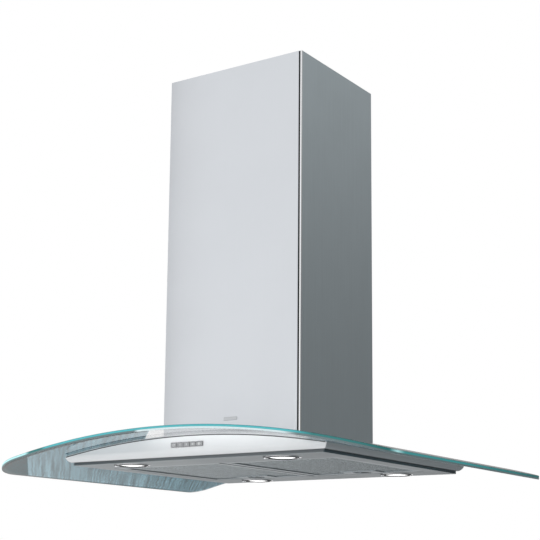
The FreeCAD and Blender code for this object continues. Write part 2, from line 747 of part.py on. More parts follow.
def filter_frame():
    """Right-hand filter frame: round-nosed rim, mesh groove, pivot pins and finger grip."""
    nose = S.filter_thick / 2
    body = new_body("filter_rim")
    drawing = sketch(body, "filter_section", "YZ_Plane", FILTER_IN)
    outline(drawing, [(PIVOT_Y, FILTER_LOW), (FILTER_BACK, FILTER_LOW), (FILTER_BACK, FILTER_TOP),
                      (PIVOT_Y, FILTER_TOP)])
    pad(body, drawing, S.filter_width)
    bullnose = rod("filter_nose", nose, S.filter_width, FILTER_IN, PIVOT_Y, PIVOT_Z, "X")
    pin = rod("filter_pins", S.pivot_pin, S.filter_width + 2 * S.pivot_reach, FILTER_IN - S.pivot_reach,
              PIVOT_Y, PIVOT_Z, "X")
    blank = fuse("filter_blank", body, bullnose, pin)
    in_x = FILTER_IN + S.filter_rim
    out_x = FILTER_OUT - S.filter_rim
    front = PIVOT_Y + S.filter_rim
    back = FILTER_BACK - S.filter_rim
    opening = box("filter_opening", (in_x, out_x), (front, back), (FILTER_LOW - 1, FILTER_TOP + 1))
    tongue = S.mesh_tongue + S.mesh_slack
    low = PIVOT_Z - S.mesh_thick / 2 - S.mesh_slack
    high = PIVOT_Z + S.mesh_thick / 2 + S.mesh_slack
    groove = box("filter_groove", (in_x - tongue, out_x + tongue), (front - tongue, back + tongue), (low, high))
    half = S.grip_width / 2
    plate = box("grip_plate", (FILTER_MID - half, FILTER_MID + half),
                (FILTER_BACK - S.grip_depth, FILTER_BACK), (FILTER_LOW, FILTER_TOP))
    hollow = cut("filter_hollow", group("filter_voids", opening, groove), plate)
    roof = LATCH_LOW + S.latch_thick + S.slide_slack
    finger = rod("finger_grip", S.grip_round, roof - FILTER_LOW + 1, FILTER_MID,
                 LATCH_IN - S.grip_round + 10, FILTER_LOW - 1)
    lane = S.latch_width / 2 + S.slide_slack
    channel = box("latch_channel", (FILTER_MID - lane, FILTER_MID + lane),
                  (LATCH_IN - S.latch_travel - 1, FILTER_BACK + 1), (LATCH_LOW - S.slide_slack, roof))
    frame = cut("filter_frame_cut", blank, hollow, finger, channel)
    node("filter_frame_right", frame)
    node("filter_frame_left", mirror("filter_frame_mirrored", frame, Vector(1, 0, 0)))
    in_m = in_x - S.mesh_tongue
    out_m = out_x + S.mesh_tongue
    notch = box("mesh_notch", (FILTER_MID - half - 0.3, FILTER_MID + half + 0.3),
                (FILTER_BACK - S.grip_depth - 0.3, FILTER_BACK), (FILTER_LOW, FILTER_TOP))
    pack = box("mesh_pack", (in_m, out_m), (front - S.mesh_tongue, back + S.mesh_tongue),
               (PIVOT_Z - S.mesh_thick / 2, PIVOT_Z + S.mesh_thick / 2))
    mesh = cut("mesh_pack_cut", pack, notch)
    node("filter_mesh_right", mesh)
    node("filter_mesh_left", mirror("mesh_mirrored", mesh, Vector(1, 0, 0)))


def filter_latch():
    """Sliding latch: flat bolt with a thumb tab that hangs in the finger grip."""
    half = S.latch_width / 2
    bolt = slab("latch_bolt", (FILTER_MID - half, FILTER_MID + half), (LATCH_IN, FILTER_BACK + S.latch_reach),
                (LATCH_LOW, LATCH_LOW + S.latch_thick), 1.2)
    tab = slab("latch_tab", (FILTER_MID - half + 4, FILTER_MID + half - 4), (LATCH_IN, LATCH_IN + 2.5),
               (FILTER_LOW + 0.8, LATCH_LOW + 0.5), 1)
    latch = fuse("latch_whole", bolt, tab)
    node("filter_latch_right", latch)
    node("filter_latch_left", mirror("latch_mirrored", latch, Vector(1, 0, 0)))


# ---------------------------------------------------------------- lamps
def lamp_bezel():
    """Dished trim ring whose barrel stands in the tray's lamp hole."""
    out = S.bezel_round
    proud = S.bezel_proud
    return lathe("bezel_turned",
                 [(out, 0), (out, -0.5 * proud), (out - 2, -proud), (out - 3, -proud), (S.lens_round + 0.6, 1.0),
                  (S.lens_round + 0.6, 4.2), (S.lens_round - 1.5, 4.2), (S.lens_round - 1.5, 5.4),
                  (S.barrel_round - 1.4, 5.4), (S.barrel_round - 1.4, 16), (S.barrel_round, 16),
                  (S.barrel_round, 0)])


def lamp_lens():
    """Frosted lens: a flat rim and a dome that bulges down."""
    edge = S.lens_round + 0.3
    rise = S.lens_dome
    dome = (edge * edge + rise * rise) / (2 * rise)
    return lathe("lens_turned", [(0, 1.4 - rise), (edge, 1.4), (edge, 4.1), (0, 4.1)], {0: (dome, 1)})


def lamp_cup():
    """Reflector cup above the lens, with the ceramic holder on top."""
    rim = S.barrel_round - 1.8
    top = 5.5 + S.cup_height
    return lathe("cup_turned", [(rim, 5.5), (rim, 12), (15, top - 5), (9, top - 5), (9, top), (0, top),
                                (0, top - 8), (14, top - 8), (rim - 1, 11.5), (rim - 1, 5.5)])


def lamp_bulb():
    """Small capsule bulb that hangs from the holder."""
    top = 5.5 + S.cup_height - 8
    base = S.bulb_round
    return lathe("bulb_turned", [(0, top - 14), (base * 0.6, top - 13.4), (base, top - 11), (base, top - 5),
                                 (base * 0.7, top - 3), (base * 0.7, top), (0, top)])


def lamps():
    """Four lamps, one in each corner of the tray."""
    makers = (("bezel", lamp_bezel()), ("lens", lamp_lens()), ("cup", lamp_cup()), ("bulb", lamp_bulb()))
    corners = (("front_left", -1, -1), ("front_right", 1, -1), ("rear_left", -1, 1), ("rear_right", 1, 1))
    gathered = {"cup": [], "bulb": []}
    for kind, turned in makers:
        for corner, side, end in corners:
            copy = doc.addObject("Part::Compound", f"{kind}_{corner}")
            copy.Links = [turned]
            move(copy, side * S.lamp_x, end * S.lamp_y, TRAY_Z)
            if kind in gathered:
                gathered[kind].append(copy)
            else:
                node(f"lamp_{kind}_{corner}", copy)
    node("lamp_cups", group("lamp_cups_all", *gathered["cup"]))
    node("lamp_bulbs", group("lamp_bulbs_all", *gathered["bulb"]))


# ---------------------------------------------------------------- controls
def controls():
    """Bezel with a row of push buttons, and the switch board behind them."""
    front = -BODY_Y
    half_x = S.control_width / 2
    half_z = S.control_height / 2
    count = int(S.button_count.value)
    pitch = S.control_width / (S.button_count + 0.1)
    rim = box("bezel_rim", (-half_x, half_x), (front - 1, front - 0.05), (CONTROL_Z - half_z, CONTROL_Z + half_z))
    neck = box("bezel_neck", (-half_x + 1.8, half_x - 1.8), (front - 0.5, front + 5),
               (CONTROL_Z - half_z + 0.9, CONTROL_Z + half_z - 0.9))
    windows = []
    for place in range(count):
        middle = pitch * (place - (count - 1) / 2)
        reach = S.button_width / 2 + S.slide_slack
        rise = S.button_height / 2 + S.slide_slack
        windows.append(box(f"button_window_{place + 1}", (middle - reach, middle + reach),
                           (front - 2, front + 6), (CONTROL_Z - rise, CONTROL_Z + rise)))
        push_button(place + 1, middle)
    node("control_bezel", cut("control_bezel_cut", fuse("bezel_solid", rim, neck), *windows))
    board_y = front + 5 + S.button_travel + 1.9
    board = box("board_card", (-half_x, half_x), (board_y, board_y + 1.6), (CONTROL_Z - 7, CONTROL_Z + 5))
    feet = []
    for side in (-1, 1):
        feet.append(box(f"board_foot_{'left' if side < 0 else 'right'}",
                        (side * (half_x + 1.1) - 2, side * (half_x + 1.1) + 2),
                        (front + S.panel_sheet + 0.05, board_y + 1.6),
                        (CONTROL_Z - 3, CONTROL_Z + 3)))
    node("switch_board", fuse("switch_board_all", board, *feet))


def push_button(number, middle):
    """One push button: cap in the bezel's window, flange behind it and a plunger."""
    front = -BODY_Y
    reach = S.button_width / 2
    rise = S.button_height / 2
    cap = slab(f"button_cap_{number}", (middle - reach, middle + reach), (front - S.button_proud - 1, front + 5.3),
               (CONTROL_Z - rise, CONTROL_Z + rise))
    flange = box(f"button_flange_{number}", (middle - reach - 0.3, middle + reach + 0.3),
                 (front + 5.3, front + 6.3), (CONTROL_Z - rise - 1, CONTROL_Z + rise + 1))
    node(f"button_{number}", fuse(f"button_{number}_all", cap, flange))


# ---------------------------------------------------------------- blower
def base_plate():
    """Plate under the deck that carries the posts and the blower, open for the air."""
    bottom = BASE_TOP - S.plate_sheet
    plate = slab("base_outer", (-BASE_X, BASE_X), (-BASE_Y, BASE_Y), (bottom, BASE_TOP), 6)
    air_x = BOX_X - 12
    air_y = BOX_Y - 12
    opening = slab("base_opening", (-air_x, air_x), (-air_y, air_y), (bottom - 1, BASE_TOP + 1), 8)
    screw = rod("base_screw", S.clamp_screw + 0.2, 3 * S.plate_sheet, CLAMP_X, CLAMP_Y, bottom - 1)
    node("base_plate", cut("base_plate_cut", plate, opening, four("base_screws", screw)))


def blower_box():
    """Sheet box round the blower, open below, with a turned-in foot and a round outlet."""
    outer = slab("blower_box_outer", (-BOX_X, BOX_X), (-BOX_Y, BOX_Y), (BASE_TOP, BOX_TOP), 1.5)
    in_x = BOX_X - S.box_sheet
    in_y = BOX_Y - S.box_sheet
    hollow = box("blower_box_hollow", (-in_x, in_x), (-in_y, in_y),
                 (BASE_TOP + S.box_sheet, BOX_TOP - S.box_sheet))
    mouth = box("blower_box_mouth", (-in_x + 10, in_x - 10), (-in_y + 10, in_y - 10),
                (BASE_TOP - 1, BASE_TOP + 2 * S.box_sheet))
    outlet = rod("blower_box_outlet", S.duct_round - S.duct_sheet, 4 * S.box_sheet, 0, S.outlet_back,
                 BOX_TOP - 2 * S.box_sheet)
    node("blower_box", cut("blower_box_cut", outer, hollow, mouth, outlet))


def volute_outline(name, grow, top, width):
    """Casing outline: four quarter arcs about a small square, and the straight outlet."""
    step = S.volute_step
    half = step / 2
    radii = [VOLUTE_LOW + grow + step * k for k in (3, 2, 1, 0)]
    outer_y = WHEEL_Y + half + radii[0]
    tongue_y = outer_y - S.outlet_width - 2 * grow
    offset = tongue_y - WHEEL_Y + half
    tongue_z = WHEEL_Z + half + root(radii[3] * radii[3] - offset * offset)
    body = new_body(name)
    drawing = sketch(body, name + "_spiral", "YZ_Plane")
    outline(drawing,
            [(outer_y, top), (outer_y, WHEEL_Z + half), (WHEEL_Y + half, WHEEL_Z + half - radii[0]),
             (WHEEL_Y - half - radii[2], WHEEL_Z - half), (WHEEL_Y - half, WHEEL_Z - half + radii[2]),
             (tongue_y, tongue_z), (tongue_y, top)],
            {1: (radii[0], -1), 2: (radii[1], -1), 3: (radii[2], -1), 4: (radii[3], -1)})
    pad(body, drawing, width, both=True)
    return body


def volute():
    """Scroll casing in two halves with a round inlet in each side."""
    sheet = S.volute_sheet
    outer = volute_outline("volute_outer", sheet, VOLUTE_TOP, S.volute_width + 2 * sheet)
    inner = volute_outline("volute_inner", size(0), VOLUTE_TOP + 1, S.volute_width)
    inlet = rod("volute_inlet", S.inlet_round, S.volute_width * 2, -S.volute_width, WHEEL_Y, WHEEL_Z, "X")
    shell = cut("volute_shell", outer, inner, inlet)
    far = S.volute_width
    for name, x in (("volute_left", (-far, -0.05)), ("volute_right", (0.05, far))):
        half = box(name + "_half", x, (-far, far), (BASE_TOP, BOX_TOP))
        node(name, common(name + "_part", shell, half))


def outlet_adapter():
    """Duct that turns the casing's square outlet into the round collar."""
    half = S.volute_width / 2
    back = WHEEL_Y + S.volute_step / 2 + VOLUTE_LOW + 3 * S.volute_step
    front = back - S.outlet_width
    skins = []
    for name, grow in (("adapter_skin", S.volute_sheet), ("adapter_bore", size(0))):
        body = new_body(name)
        square = sketch(body, name + "_square", "XY_Plane", VOLUTE_TOP)
        outline(square, rectangle((-half - grow, half + grow), (front - grow, back + grow)))
        ring = sketch(body, name + "_ring", "XY_Plane", BOX_TOP - S.box_sheet)
        ring.addGeometry(Part.Circle(Vector(0, 0, 0), Vector(0, 0, 1), 50), False)
        wide = S.duct_round - S.volute_sheet + grow
        index = ring.addConstraint(Sketcher.Constraint("Radius", 0, 50.0))
        ring.renameConstraint(index, "wide")
        ring.setExpression("Constraints.wide", wide.text)
        pin_vertex(ring, 0, 3, "middle", 0, S.outlet_back)
        loft = body.newObject("PartDesign::AdditiveLoft", name + "_loft")
        loft.Profile = square
        loft.Sections = [ring]
        loft.Ruled = True
        skins.append(body)
    node("outlet_adapter", cut("outlet_adapter_cut", *skins))


def collar():
    """Round outlet collar that stands on the box's top, with a seat for the flaps, and their axle."""
    out = S.duct_round
    bore = out - S.duct_sheet
    seat = 12.0
    turned = lathe("collar_turned",
                   [(bore, size(0)), (out, size(0)), (out, S.collar_height), (bore, S.collar_height),
                    (bore, seat + 2), (bore - 3, seat + 1), (bore - 3, seat), (bore, seat)])
    move(turned, 0, S.outlet_back, BOX_TOP)
    axle_z = BOX_TOP + seat + 4 + S.axle_round
    axle = rod("damper_axle_rod", S.axle_round, 2 * bore - 0.2, 0, S.outlet_back - bore + 0.1, axle_z, "Y")
    node("outlet_collar", turned)
    node("damper_axle", axle)
    for name, side in (("damper_flap_left", -1), ("damper_flap_right", 1)):
        flap(name, side, bore, axle_z)


def flap(name, side, bore, axle_z):
    """Half-round flap with two knuckles round the axle."""
    round_ = bore - S.flap_slack
    sheet_low = axle_z - S.axle_round - 1.4
    disc = rod(name + "_disc", round_, S.flap_sheet, 0, S.outlet_back, sheet_low)
    near = S.axle_round + 2
    keep = box(name + "_keep", (near, 2 * bore) if side > 0 else (-2 * bore, -near), (-3 * bore, 3 * bore),
               (sheet_low - 1, sheet_low + 3))
    leaf = common(name + "_leaf", disc, keep)
    knuckles = []
    arms = []
    for place in range(2):
        start = S.outlet_back - 36 + place * 48 + (0 if side < 0 else 13)
        knuckles.append(rod(f"{name}_knuckle_{place}", S.axle_round + 1.4, 11, 0, start, axle_z, "Y"))
        arm_x = (0, near + 4) if side > 0 else (-near - 4, 0)
        arms.append(box(f"{name}_arm_{place}", arm_x, (start, start + 11), (sheet_low, sheet_low + 1.2)))
    bore_tool = rod(name + "_bore", S.axle_round + 0.1, 4 * bore, 0, S.outlet_back - 2 * bore, axle_z, "Y")
    node(name, cut(name + "_hinged", fuse(name + "_blank", leaf, *knuckles, *arms), bore_tool))


def impeller():
    """Double-inlet wheel: middle disc with a boss, curved blades and two end rings."""
    body = new_body("wheel")
    disc = sketch(body, "wheel_disc", "YZ_Plane")
    circle_at(disc, S.wheel_round, "disc")
    pad(body, disc, 1.6, both=True)
    blade = sketch(body, "wheel_blade", "YZ_Plane")
    inner = S.wheel_inner + 0.5
    outer = S.wheel_round - 0.5
    lean = outer * 0.13
    run = outer - inner
    bend = run * 0.9
    sheet = S.blade_sheet
    outline(blade, [(inner, 0), (outer, lean), (outer - sheet * 0.3, lean + sheet), (inner, sheet)],
            {0: (bend, 1), 2: (bend - sheet * 0.5, -1)})
    body_blade = body.newObject("PartDesign::Pad", "wheel_blade_pad")
    body_blade.Profile = blade
    bind(body_blade, "Length", S.wheel_width)
    body_blade.Midplane = True
    doc.recompute()
    around = body.newObject("PartDesign::PolarPattern", "wheel_blades")
    around.Originals = [body_blade]
    around.Axis = (disc, ["N_Axis"])
    around.Angle = 360
    around.Occurrences = int(S.blade_count.value)
    body.Tip = around
    doc.recompute()
    half = S.wheel_width / 2
    rings = []
    for side in (-1, 1):
        label = "left" if side < 0 else "right"
        edge = half - 2 if side > 0 else -half
        solid = rod(f"wheel_ring_{label}", S.wheel_round, 2, edge, 0, 0, "X")
        hole = rod(f"wheel_ring_hole_{label}", S.wheel_inner, 4, edge - 1, 0, 0, "X")
        rings.append(cut(f"wheel_ring_{label}_cut", solid, hole))
    boss = rod("wheel_boss", S.shaft_round * 2.5, 16, -12, 0, 0, "X")
    bore = rod("wheel_bore", S.shaft_round, 60, -30, 0, 0, "X")
    wheel = cut("wheel_whole", fuse("wheel_fused", body, boss, *rings), bore)
    node("impeller", move(wheel, 0, WHEEL_Y, WHEEL_Z))
    node("motor_shaft", rod("motor_shaft_rod", S.shaft_round, 44, -13, WHEEL_Y, WHEEL_Z, "X"))


def circle_at(drawing, radius, name):
    """Circle of bound radius about the sketch's origin."""
    index = drawing.addGeometry(Part.Circle(Vector(0, 0, 0), Vector(0, 0, 1), radius.value), False)
    drawing.addConstraint(Sketcher.Constraint("Coincident", index, 3, -1, 1))
    number = drawing.addConstraint(Sketcher.Constraint("Radius", index, radius.value))
    drawing.renameConstraint(number, name)
    drawing.setExpression(f"Constraints.{name}", radius.text)


def motor():
    """Motor inside the wheel, held by a three-armed bracket in the right inlet."""
    start = size(5.2)
    can = rod("motor_can", S.motor_round, S.motor_length, start, WHEEL_Y, WHEEL_Z, "X")
    nose = rod("motor_nose", S.motor_round * 0.45, 2, start - 0.8, WHEEL_Y, WHEEL_Z, "X")
    bore = rod("motor_bore", S.shaft_round + 0.08, 30, start - 2, WHEEL_Y, WHEEL_Z, "X")
    node("motor", cut("motor_cut", fuse("motor_solid", can, nose), bore))
    seat = start + S.motor_length + 0.1
    thick = S.volute_width / 2 - seat - 0.1
    hub = rod("bracket_hub", S.motor_round * 0.6, thick, seat, WHEEL_Y, WHEEL_Z, "X")
    arms = []
    for turn in range(3):
        arm = doc.addObject("Part::Box", f"bracket_arm_{turn}")
        bind(arm, "Length", thick)
        bind(arm, "Width", S.inlet_round + 5)
        arm.Height = 12
        arm.Placement = Placement(Vector(), Rotation(Vector(1, 0, 0), 90 + 120 * turn))
        shift = Rotation(Vector(1, 0, 0), 90 + 120 * turn).multVec(Vector(0, 0, -6))
        move(arm, seat, WHEEL_Y + shift.y, WHEEL_Z + shift.z)
        arms.append(arm)
    node("motor_bracket", fuse("motor_bracket_all", hub, *arms))


# ---------------------------------------------------------------- electrics
def electrics():
    """Control unit, lamp transformer, capacitor and the gland for the mains lead."""
    low = BOX_TOP + 0.1
    corner_x = BOX_X - 4
    front = -BOX_Y + 4
    unit = slab("unit_case", (S.duct_round + 6, corner_x), (front, front + 95), (low, low + 40), 4)
    lid = slab("unit_lid", (S.duct_round + 5, corner_x + 1), (front - 1, front + 96), (low + 34, low + 40.5), 5)
    node("control_unit", fuse("control_unit_all", unit, lid))
    core = slab("transformer_case", (-corner_x, -S.duct_round - 8), (front, front + 80), (low, low + 32), 3)
    ear = slab("transformer_ear", (-corner_x + 8, -S.duct_round - 16), (front - 2, front + 92), (low, low + 2), 5)
    node("transformer", fuse("transformer_all", core, ear))
    node("capacitor", rod("capacitor_can", 14, 58, -BOX_X + 22, front + 112, low, "Z"))
    middle = (S.duct_round + 6 + corner_x) / 2
    turned = lathe("gland_turned", [(0, 0), (10, 0), (10, 5), (8, 5), (8, 8), (9.5, 8), (9.5, 15), (6.5, 19),
                                    (4, 19), (4, 3), (0, 3)])
    node("cable_gland", move(turned, middle, front + 70, low + 40.6))


# ---------------------------------------------------------------- checks and files
def check_objects():
    """Stop if any object of the document failed to build."""
    for thing in doc.Objects:
        if "Invalid" in thing.State or "Error" in thing.State:
            raise SystemExit(f"{thing.Name} ({thing.Label}) did not build: {thing.State}")
    for name, thing in NODES.items():
        shape = thing.Shape
        if shape.isNull() or not shape.isValid() or not shape.Solids:
            raise SystemExit(f"{name} has no valid solid")


def write_files():
    """Write one STEP file for each sub-part."""
    os.makedirs("parts", exist_ok=True)
    for name, thing in NODES.items():
        thing.Shape.exportStep(f"parts/{name}.step")
    print(f"{len(NODES)} sub-parts written")


ceiling_plate()
frame_posts()
lower_covers()
upper_covers()
glass_canopy()
canopy_deck()
glass_gasket()
clamp_bars()
body_panels()
bottom_tray()
filter_frame()
filter_latch()
lamps()
controls()
base_plate()
blower_box()
volute()
outlet_adapter()
collar()
impeller()
motor()
electrics()
doc.recompute()
check_objects()
write_files()
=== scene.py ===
"""Looks of a ceiling-hung cooker hood with an arched glass canopy.

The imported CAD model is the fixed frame. This script dresses its nodes, replaces those whose
curves need a finer surface, and adds the trim, the studio and the camera.
"""

import logging
import math
from dataclasses import dataclass
from enum import Enum

import bmesh
import bpy
import numpy as np
from mathutils import Matrix, Vector


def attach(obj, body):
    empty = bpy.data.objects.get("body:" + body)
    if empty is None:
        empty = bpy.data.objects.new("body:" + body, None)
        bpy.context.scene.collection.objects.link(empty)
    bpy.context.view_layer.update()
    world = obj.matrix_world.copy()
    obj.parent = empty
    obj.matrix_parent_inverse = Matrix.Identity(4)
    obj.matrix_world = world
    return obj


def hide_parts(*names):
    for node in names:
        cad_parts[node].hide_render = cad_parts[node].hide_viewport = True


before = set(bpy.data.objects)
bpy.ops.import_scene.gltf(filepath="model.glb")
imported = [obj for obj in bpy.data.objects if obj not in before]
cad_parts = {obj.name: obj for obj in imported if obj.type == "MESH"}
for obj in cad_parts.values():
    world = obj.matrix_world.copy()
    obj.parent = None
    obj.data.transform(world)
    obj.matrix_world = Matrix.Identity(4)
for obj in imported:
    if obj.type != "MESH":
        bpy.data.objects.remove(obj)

LOG = logging.getLogger("hood")
SIDES = ("left", "right")
ENDS = ("front", "rear")
CORNERS = tuple(f"{end}_{side}" for end in ENDS for side in SIDES)
LAMP_X = 0.177
LAMP_Y = 0.2205
ARC_CENTRE_Z = -2.486  # middle of the circle that the glass and the panels follow

Mesh = bpy.types.Mesh
Node = bpy.types.Node
Piece = bpy.types.Object
Socket = bpy.types.NodeSocket
Pair = tuple[float, float]
Triple = tuple[float, float, float]
Colour = Triple


# ---------------------------------------------------------------- shader building
class Graph:
    """Short ways to add and join the nodes of one shader tree."""

    def __init__(self, tree: bpy.types.NodeTree) -> None:
        """Take hold of the tree of a material, a world or a group."""
        self.tree = tree

    def add(self, kind: str, **settings: object) -> Node:
        """Add one node.

        Args:
            kind: its type name.
            settings: attributes to set on it.

        Returns:
            The new node.
        """
        node = self.tree.nodes.new(kind)
        for name, value in settings.items():
            setattr(node, name, value)
        return node

    def feed(self, socket: Socket, value: object) -> None:
        """Join an output to an input, or set the input's own value.

        Args:
            socket: the input.
            value: an output socket, a number, or a colour.
        """
        if isinstance(value, Socket):
            self.tree.links.new(value, socket)
        elif isinstance(value, tuple) and socket.type == "RGBA":
            socket.default_value = (*value, 1.0)
        else:
            socket.default_value = value

    def fill(self, node: Node, **values: object) -> None:
        """Feed several inputs of a node by name, with _ for a blank."""
        for name, value in values.items():
            self.feed(node.inputs[name.replace("_", " ")], value)

    def math(self, operation: str, *values: object) -> Socket:
        """Arithmetic on one to three values.

        Args:
            operation: name of the operation.
            values: sockets or numbers.

        Returns:
            The result's socket.
        """
        node = self.add("ShaderNodeMath", operation=operation)
        for socket, value in zip(node.inputs, values):
            self.feed(socket, value)
        return node.outputs[0]

    def times(self, first: object, second: object) -> Socket:
        """Product of two values."""
        return self.math("MULTIPLY", first, second)

    def blend(self, share: object, first: object, second: object) -> Socket:
        """Mix of two colours.

        Args:
            share: 0 for the first, 1 for the second.
            first: a colour or a socket.
            second: a colour or a socket.

        Returns:
            The mixed colour's socket.
        """
        node = self.add("ShaderNodeMix", data_type="RGBA", clamp_factor=True)
        for number, value in ((0, share), (6, first), (7, second)):
            self.feed(node.inputs[number], value)
        return node.outputs[2]

    def vector(self, operation: str, first: object, second: object) -> Node:
        """Vector arithmetic on two values.

        Args:
            operation: name of the operation.
            first: a vector's or colour's socket, or three numbers.
            second: the same, or a number where the operation is SCALE.

        Returns:
            The node.
        """
        node = self.add("ShaderNodeVectorMath", operation=operation)
        self.feed(node.inputs[0], first)
        self.feed(node.inputs["Scale" if operation == "SCALE" else 1], second)
        return node

    def tint(self, colour: object, factor: object) -> Socket:
        """Colour multiplied by a number."""
        return self.vector("SCALE", colour, factor).outputs[0]

    def toward(self, vector: Socket, way: Triple) -> Socket:
        """How far a vector reaches along a fixed way: their dot product."""
        return self.vector("DOT_PRODUCT", vector, way).outputs["Value"]

    def mapped(self, vector: Socket, scale: Triple = (1.0, 1.0, 1.0), turn: float = 0.0) -> Socket:
        """Coordinates scaled along each axis and turned about the upright one.

        Args:
            vector: the coordinates.
            scale: the factor along each axis.
            turn: the angle in degrees.

        Returns:
            The new coordinates' socket.
        """
        node = self.add("ShaderNodeMapping")
        self.fill(node, Vector=vector, Scale=scale, Rotation=(0.0, 0.0, math.radians(turn)))
        return node.outputs[0]

    def noise(self, vector: object, scale: object, detail: float = 2.0, rough: float = 0.5) -> Socket:
        """Cloudy noise from 0 to 1.

        Args:
            vector: where it is read.
            scale: how fine it is.
            detail: how many octaves it has.
            rough: how strong the fine ones are.

        Returns:
            The noise value's socket.
        """
        node = self.add("ShaderNodeTexNoise")
        self.fill(node, Vector=vector, Scale=scale, Detail=detail, Roughness=rough)
        return node.outputs[0]

    def ramp(self, value: object, stops: list[tuple[float, Colour]]) -> Socket:
        """Colour that follows a value through several stops.

        Args:
            value: what it follows, from 0 to 1.
            stops: the place and colour of each stop.

        Returns:
            The colour's socket.
        """
        node = self.add("ShaderNodeValToRGB")
        bar = node.color_ramp.elements
        while len(bar) > 1:
            bar.remove(bar[-1])
        bar[0].position = stops[0][0]
        bar[0].color = (*stops[0][1], 1.0)
        for place, colour in stops[1:]:
            bar.new(place).color = (*colour, 1.0)
        self.feed(node.inputs[0], value)
        return node.outputs[0]

    def span(self, value: object, low: float, high: float, start: float, end: float) -> Socket:
        """Value moved from one span to another, and kept there.

        Args:
            value: what is moved.
            low: one end of the span that it comes from.
            high: the other end.
            start: what low becomes.
            end: what high becomes.

        Returns:
            The moved value's socket.
        """
        node = self.add("ShaderNodeMapRange", clamp=True)
        for socket, number in zip(node.inputs, (value, low, high, start, end)):
            self.feed(socket, number)
        return node.outputs[0]

    def between(self, value: Socket, rise: Pair, fall: Pair) -> Socket:
        """Mask that goes up from 0 to 1 over one pair of limits and down over another."""
        return self.times(self.span(value, *rise, 0.0, 1.0), self.span(value, *fall, 1.0, 0.0))

    def place(self) -> Socket:
        """Object coordinates, which are the hood's own metres."""
        return self.add("ShaderNodeTexCoord").outputs["Object"]

    def parts(self, vector: Socket) -> tuple[Socket, ...]:
        """The three coordinates of a vector, one socket each.

        Args:
            vector: the vector's socket.

        Returns:
            The sockets of X, Y and Z.
        """
        node = self.add("ShaderNodeSeparateXYZ")
        self.feed(node.inputs[0], vector)
        return tuple(node.outputs)

    def bump(self, height: object, strength: float, depth: float) -> Socket:
        """Normal that follows a height.

        Args:
            height: value from 0 to 1.
            strength: share of the effect.
            depth: height of a step from 0 to 1, in metres.

        Returns:
            The normal's socket.
        """
        node = self.add("ShaderNodeBump")
        self.fill(node, Height=height, Strength=strength, Distance=depth)
        return node.outputs[0]


class Effect(Enum):
    """Surface effects that several finishes share, each one a shader group."""

    GRAIN = "brushed grain"
    WEAR = "handling marks"
    CAST = "moulded skin"


class EffectShelf:
    """Builds each shared shader group once and places it where it is wanted."""

    def __init__(self) -> None:
        """Start with no group built."""
        self.groups: dict[Effect, bpy.types.NodeTree] = {}

    def fresh(self, effect: Effect, takes: tuple[str, ...],
              gives: tuple[str, ...]) -> tuple[Graph, dict, dict]:
        """Begin a group.

        Args:
            effect: which one.
            takes: names of its numbers.
            gives: names of its outputs.

        Returns:
            The graph, its inputs by name, and its output node's sockets by name.
        """
        tree = bpy.data.node_groups.new(effect.value, "ShaderNodeTree")
        tree.interface.new_socket("Vector", in_out="INPUT", socket_type="NodeSocketVector")
        for way, names in (("INPUT", takes), ("OUTPUT", gives)):
            for name in names:
                tree.interface.new_socket(name, in_out=way, socket_type="NodeSocketFloat")
        graph = Graph(tree)
        inlet = graph.add("NodeGroupInput")
        outlet = graph.add("NodeGroupOutput")
        self.groups[effect] = tree
        return graph, {s.name: s for s in inlet.outputs}, {s.name: s for s in outlet.inputs}

    def toned(self, graph: Graph, value: Socket, contrast: Socket) -> Socket:
        """Tone about 1 from a value about 0.5."""
        return graph.math("MULTIPLY_ADD", graph.math("SUBTRACT", value, 0.5), contrast, 1.0)

    def build_grain(self) -> None:
        """Fine parallel lines: noise read on coordinates that the caller has stretched."""
        graph, takes, gives = self.fresh(Effect.GRAIN, ("Contrast",), ("Tone", "Height"))
        fine = graph.noise(takes["Vector"], 1.0, 3.0, 0.6)
        broad = graph.noise(takes["Vector"], 0.23)
        both = graph.math("MULTIPLY_ADD", broad, 0.4, graph.times(fine, 0.6))
        graph.feed(gives["Tone"], self.toned(graph, both, takes["Contrast"]))
        graph.feed(gives["Height"], both)

    def build_wear(self) -> None:
        """Faint smears from wiping and handling: broad noise with a few soft patches."""
        graph, takes, gives = self.fresh(Effect.WEAR, ("Amount", "Size"), ("Smear",))
        cloud = graph.noise(takes["Vector"], takes["Size"], 4.0, 0.55)
        graph.feed(gives["Smear"], graph.times(graph.span(cloud, 0.42, 0.72, 0.0, 1.0), takes["Amount"]))

    def build_cast(self) -> None:
        """Fine pebbled skin of a moulding: cell noise with a little cloud."""
        graph, takes, gives = self.fresh(Effect.CAST, ("Scale", "Contrast"), ("Tone", "Height"))
        cells = graph.add("ShaderNodeTexVoronoi", feature="SMOOTH_F1")
        graph.fill(cells, Vector=takes["Vector"], Scale=takes["Scale"])
        cloud = graph.noise(takes["Vector"], 30.0, 3.0)
        graph.feed(gives["Tone"], self.toned(graph, cloud, takes["Contrast"]))
        graph.feed(gives["Height"], cells.outputs["Distance"])

    def place(self, graph: Graph, effect: Effect, vector: Socket, **values: float) -> dict[str, Socket]:
        """Put a group into a material.

        Args:
            graph: the material's graph.
            effect: which group.
            vector: where it is read.
            values: its numbers.

        Returns:
            Its outputs by name.
        """
        makers = {Effect.GRAIN: self.build_grain, Effect.WEAR: self.build_wear, Effect.CAST: self.build_cast}
        if effect not in self.groups:
            makers[effect]()
        node = graph.add("ShaderNodeGroup", node_tree=self.groups[effect])
        graph.fill(node, Vector=vector, **values)
        return {socket.name: socket for socket in node.outputs}


SHELF = EffectShelf()


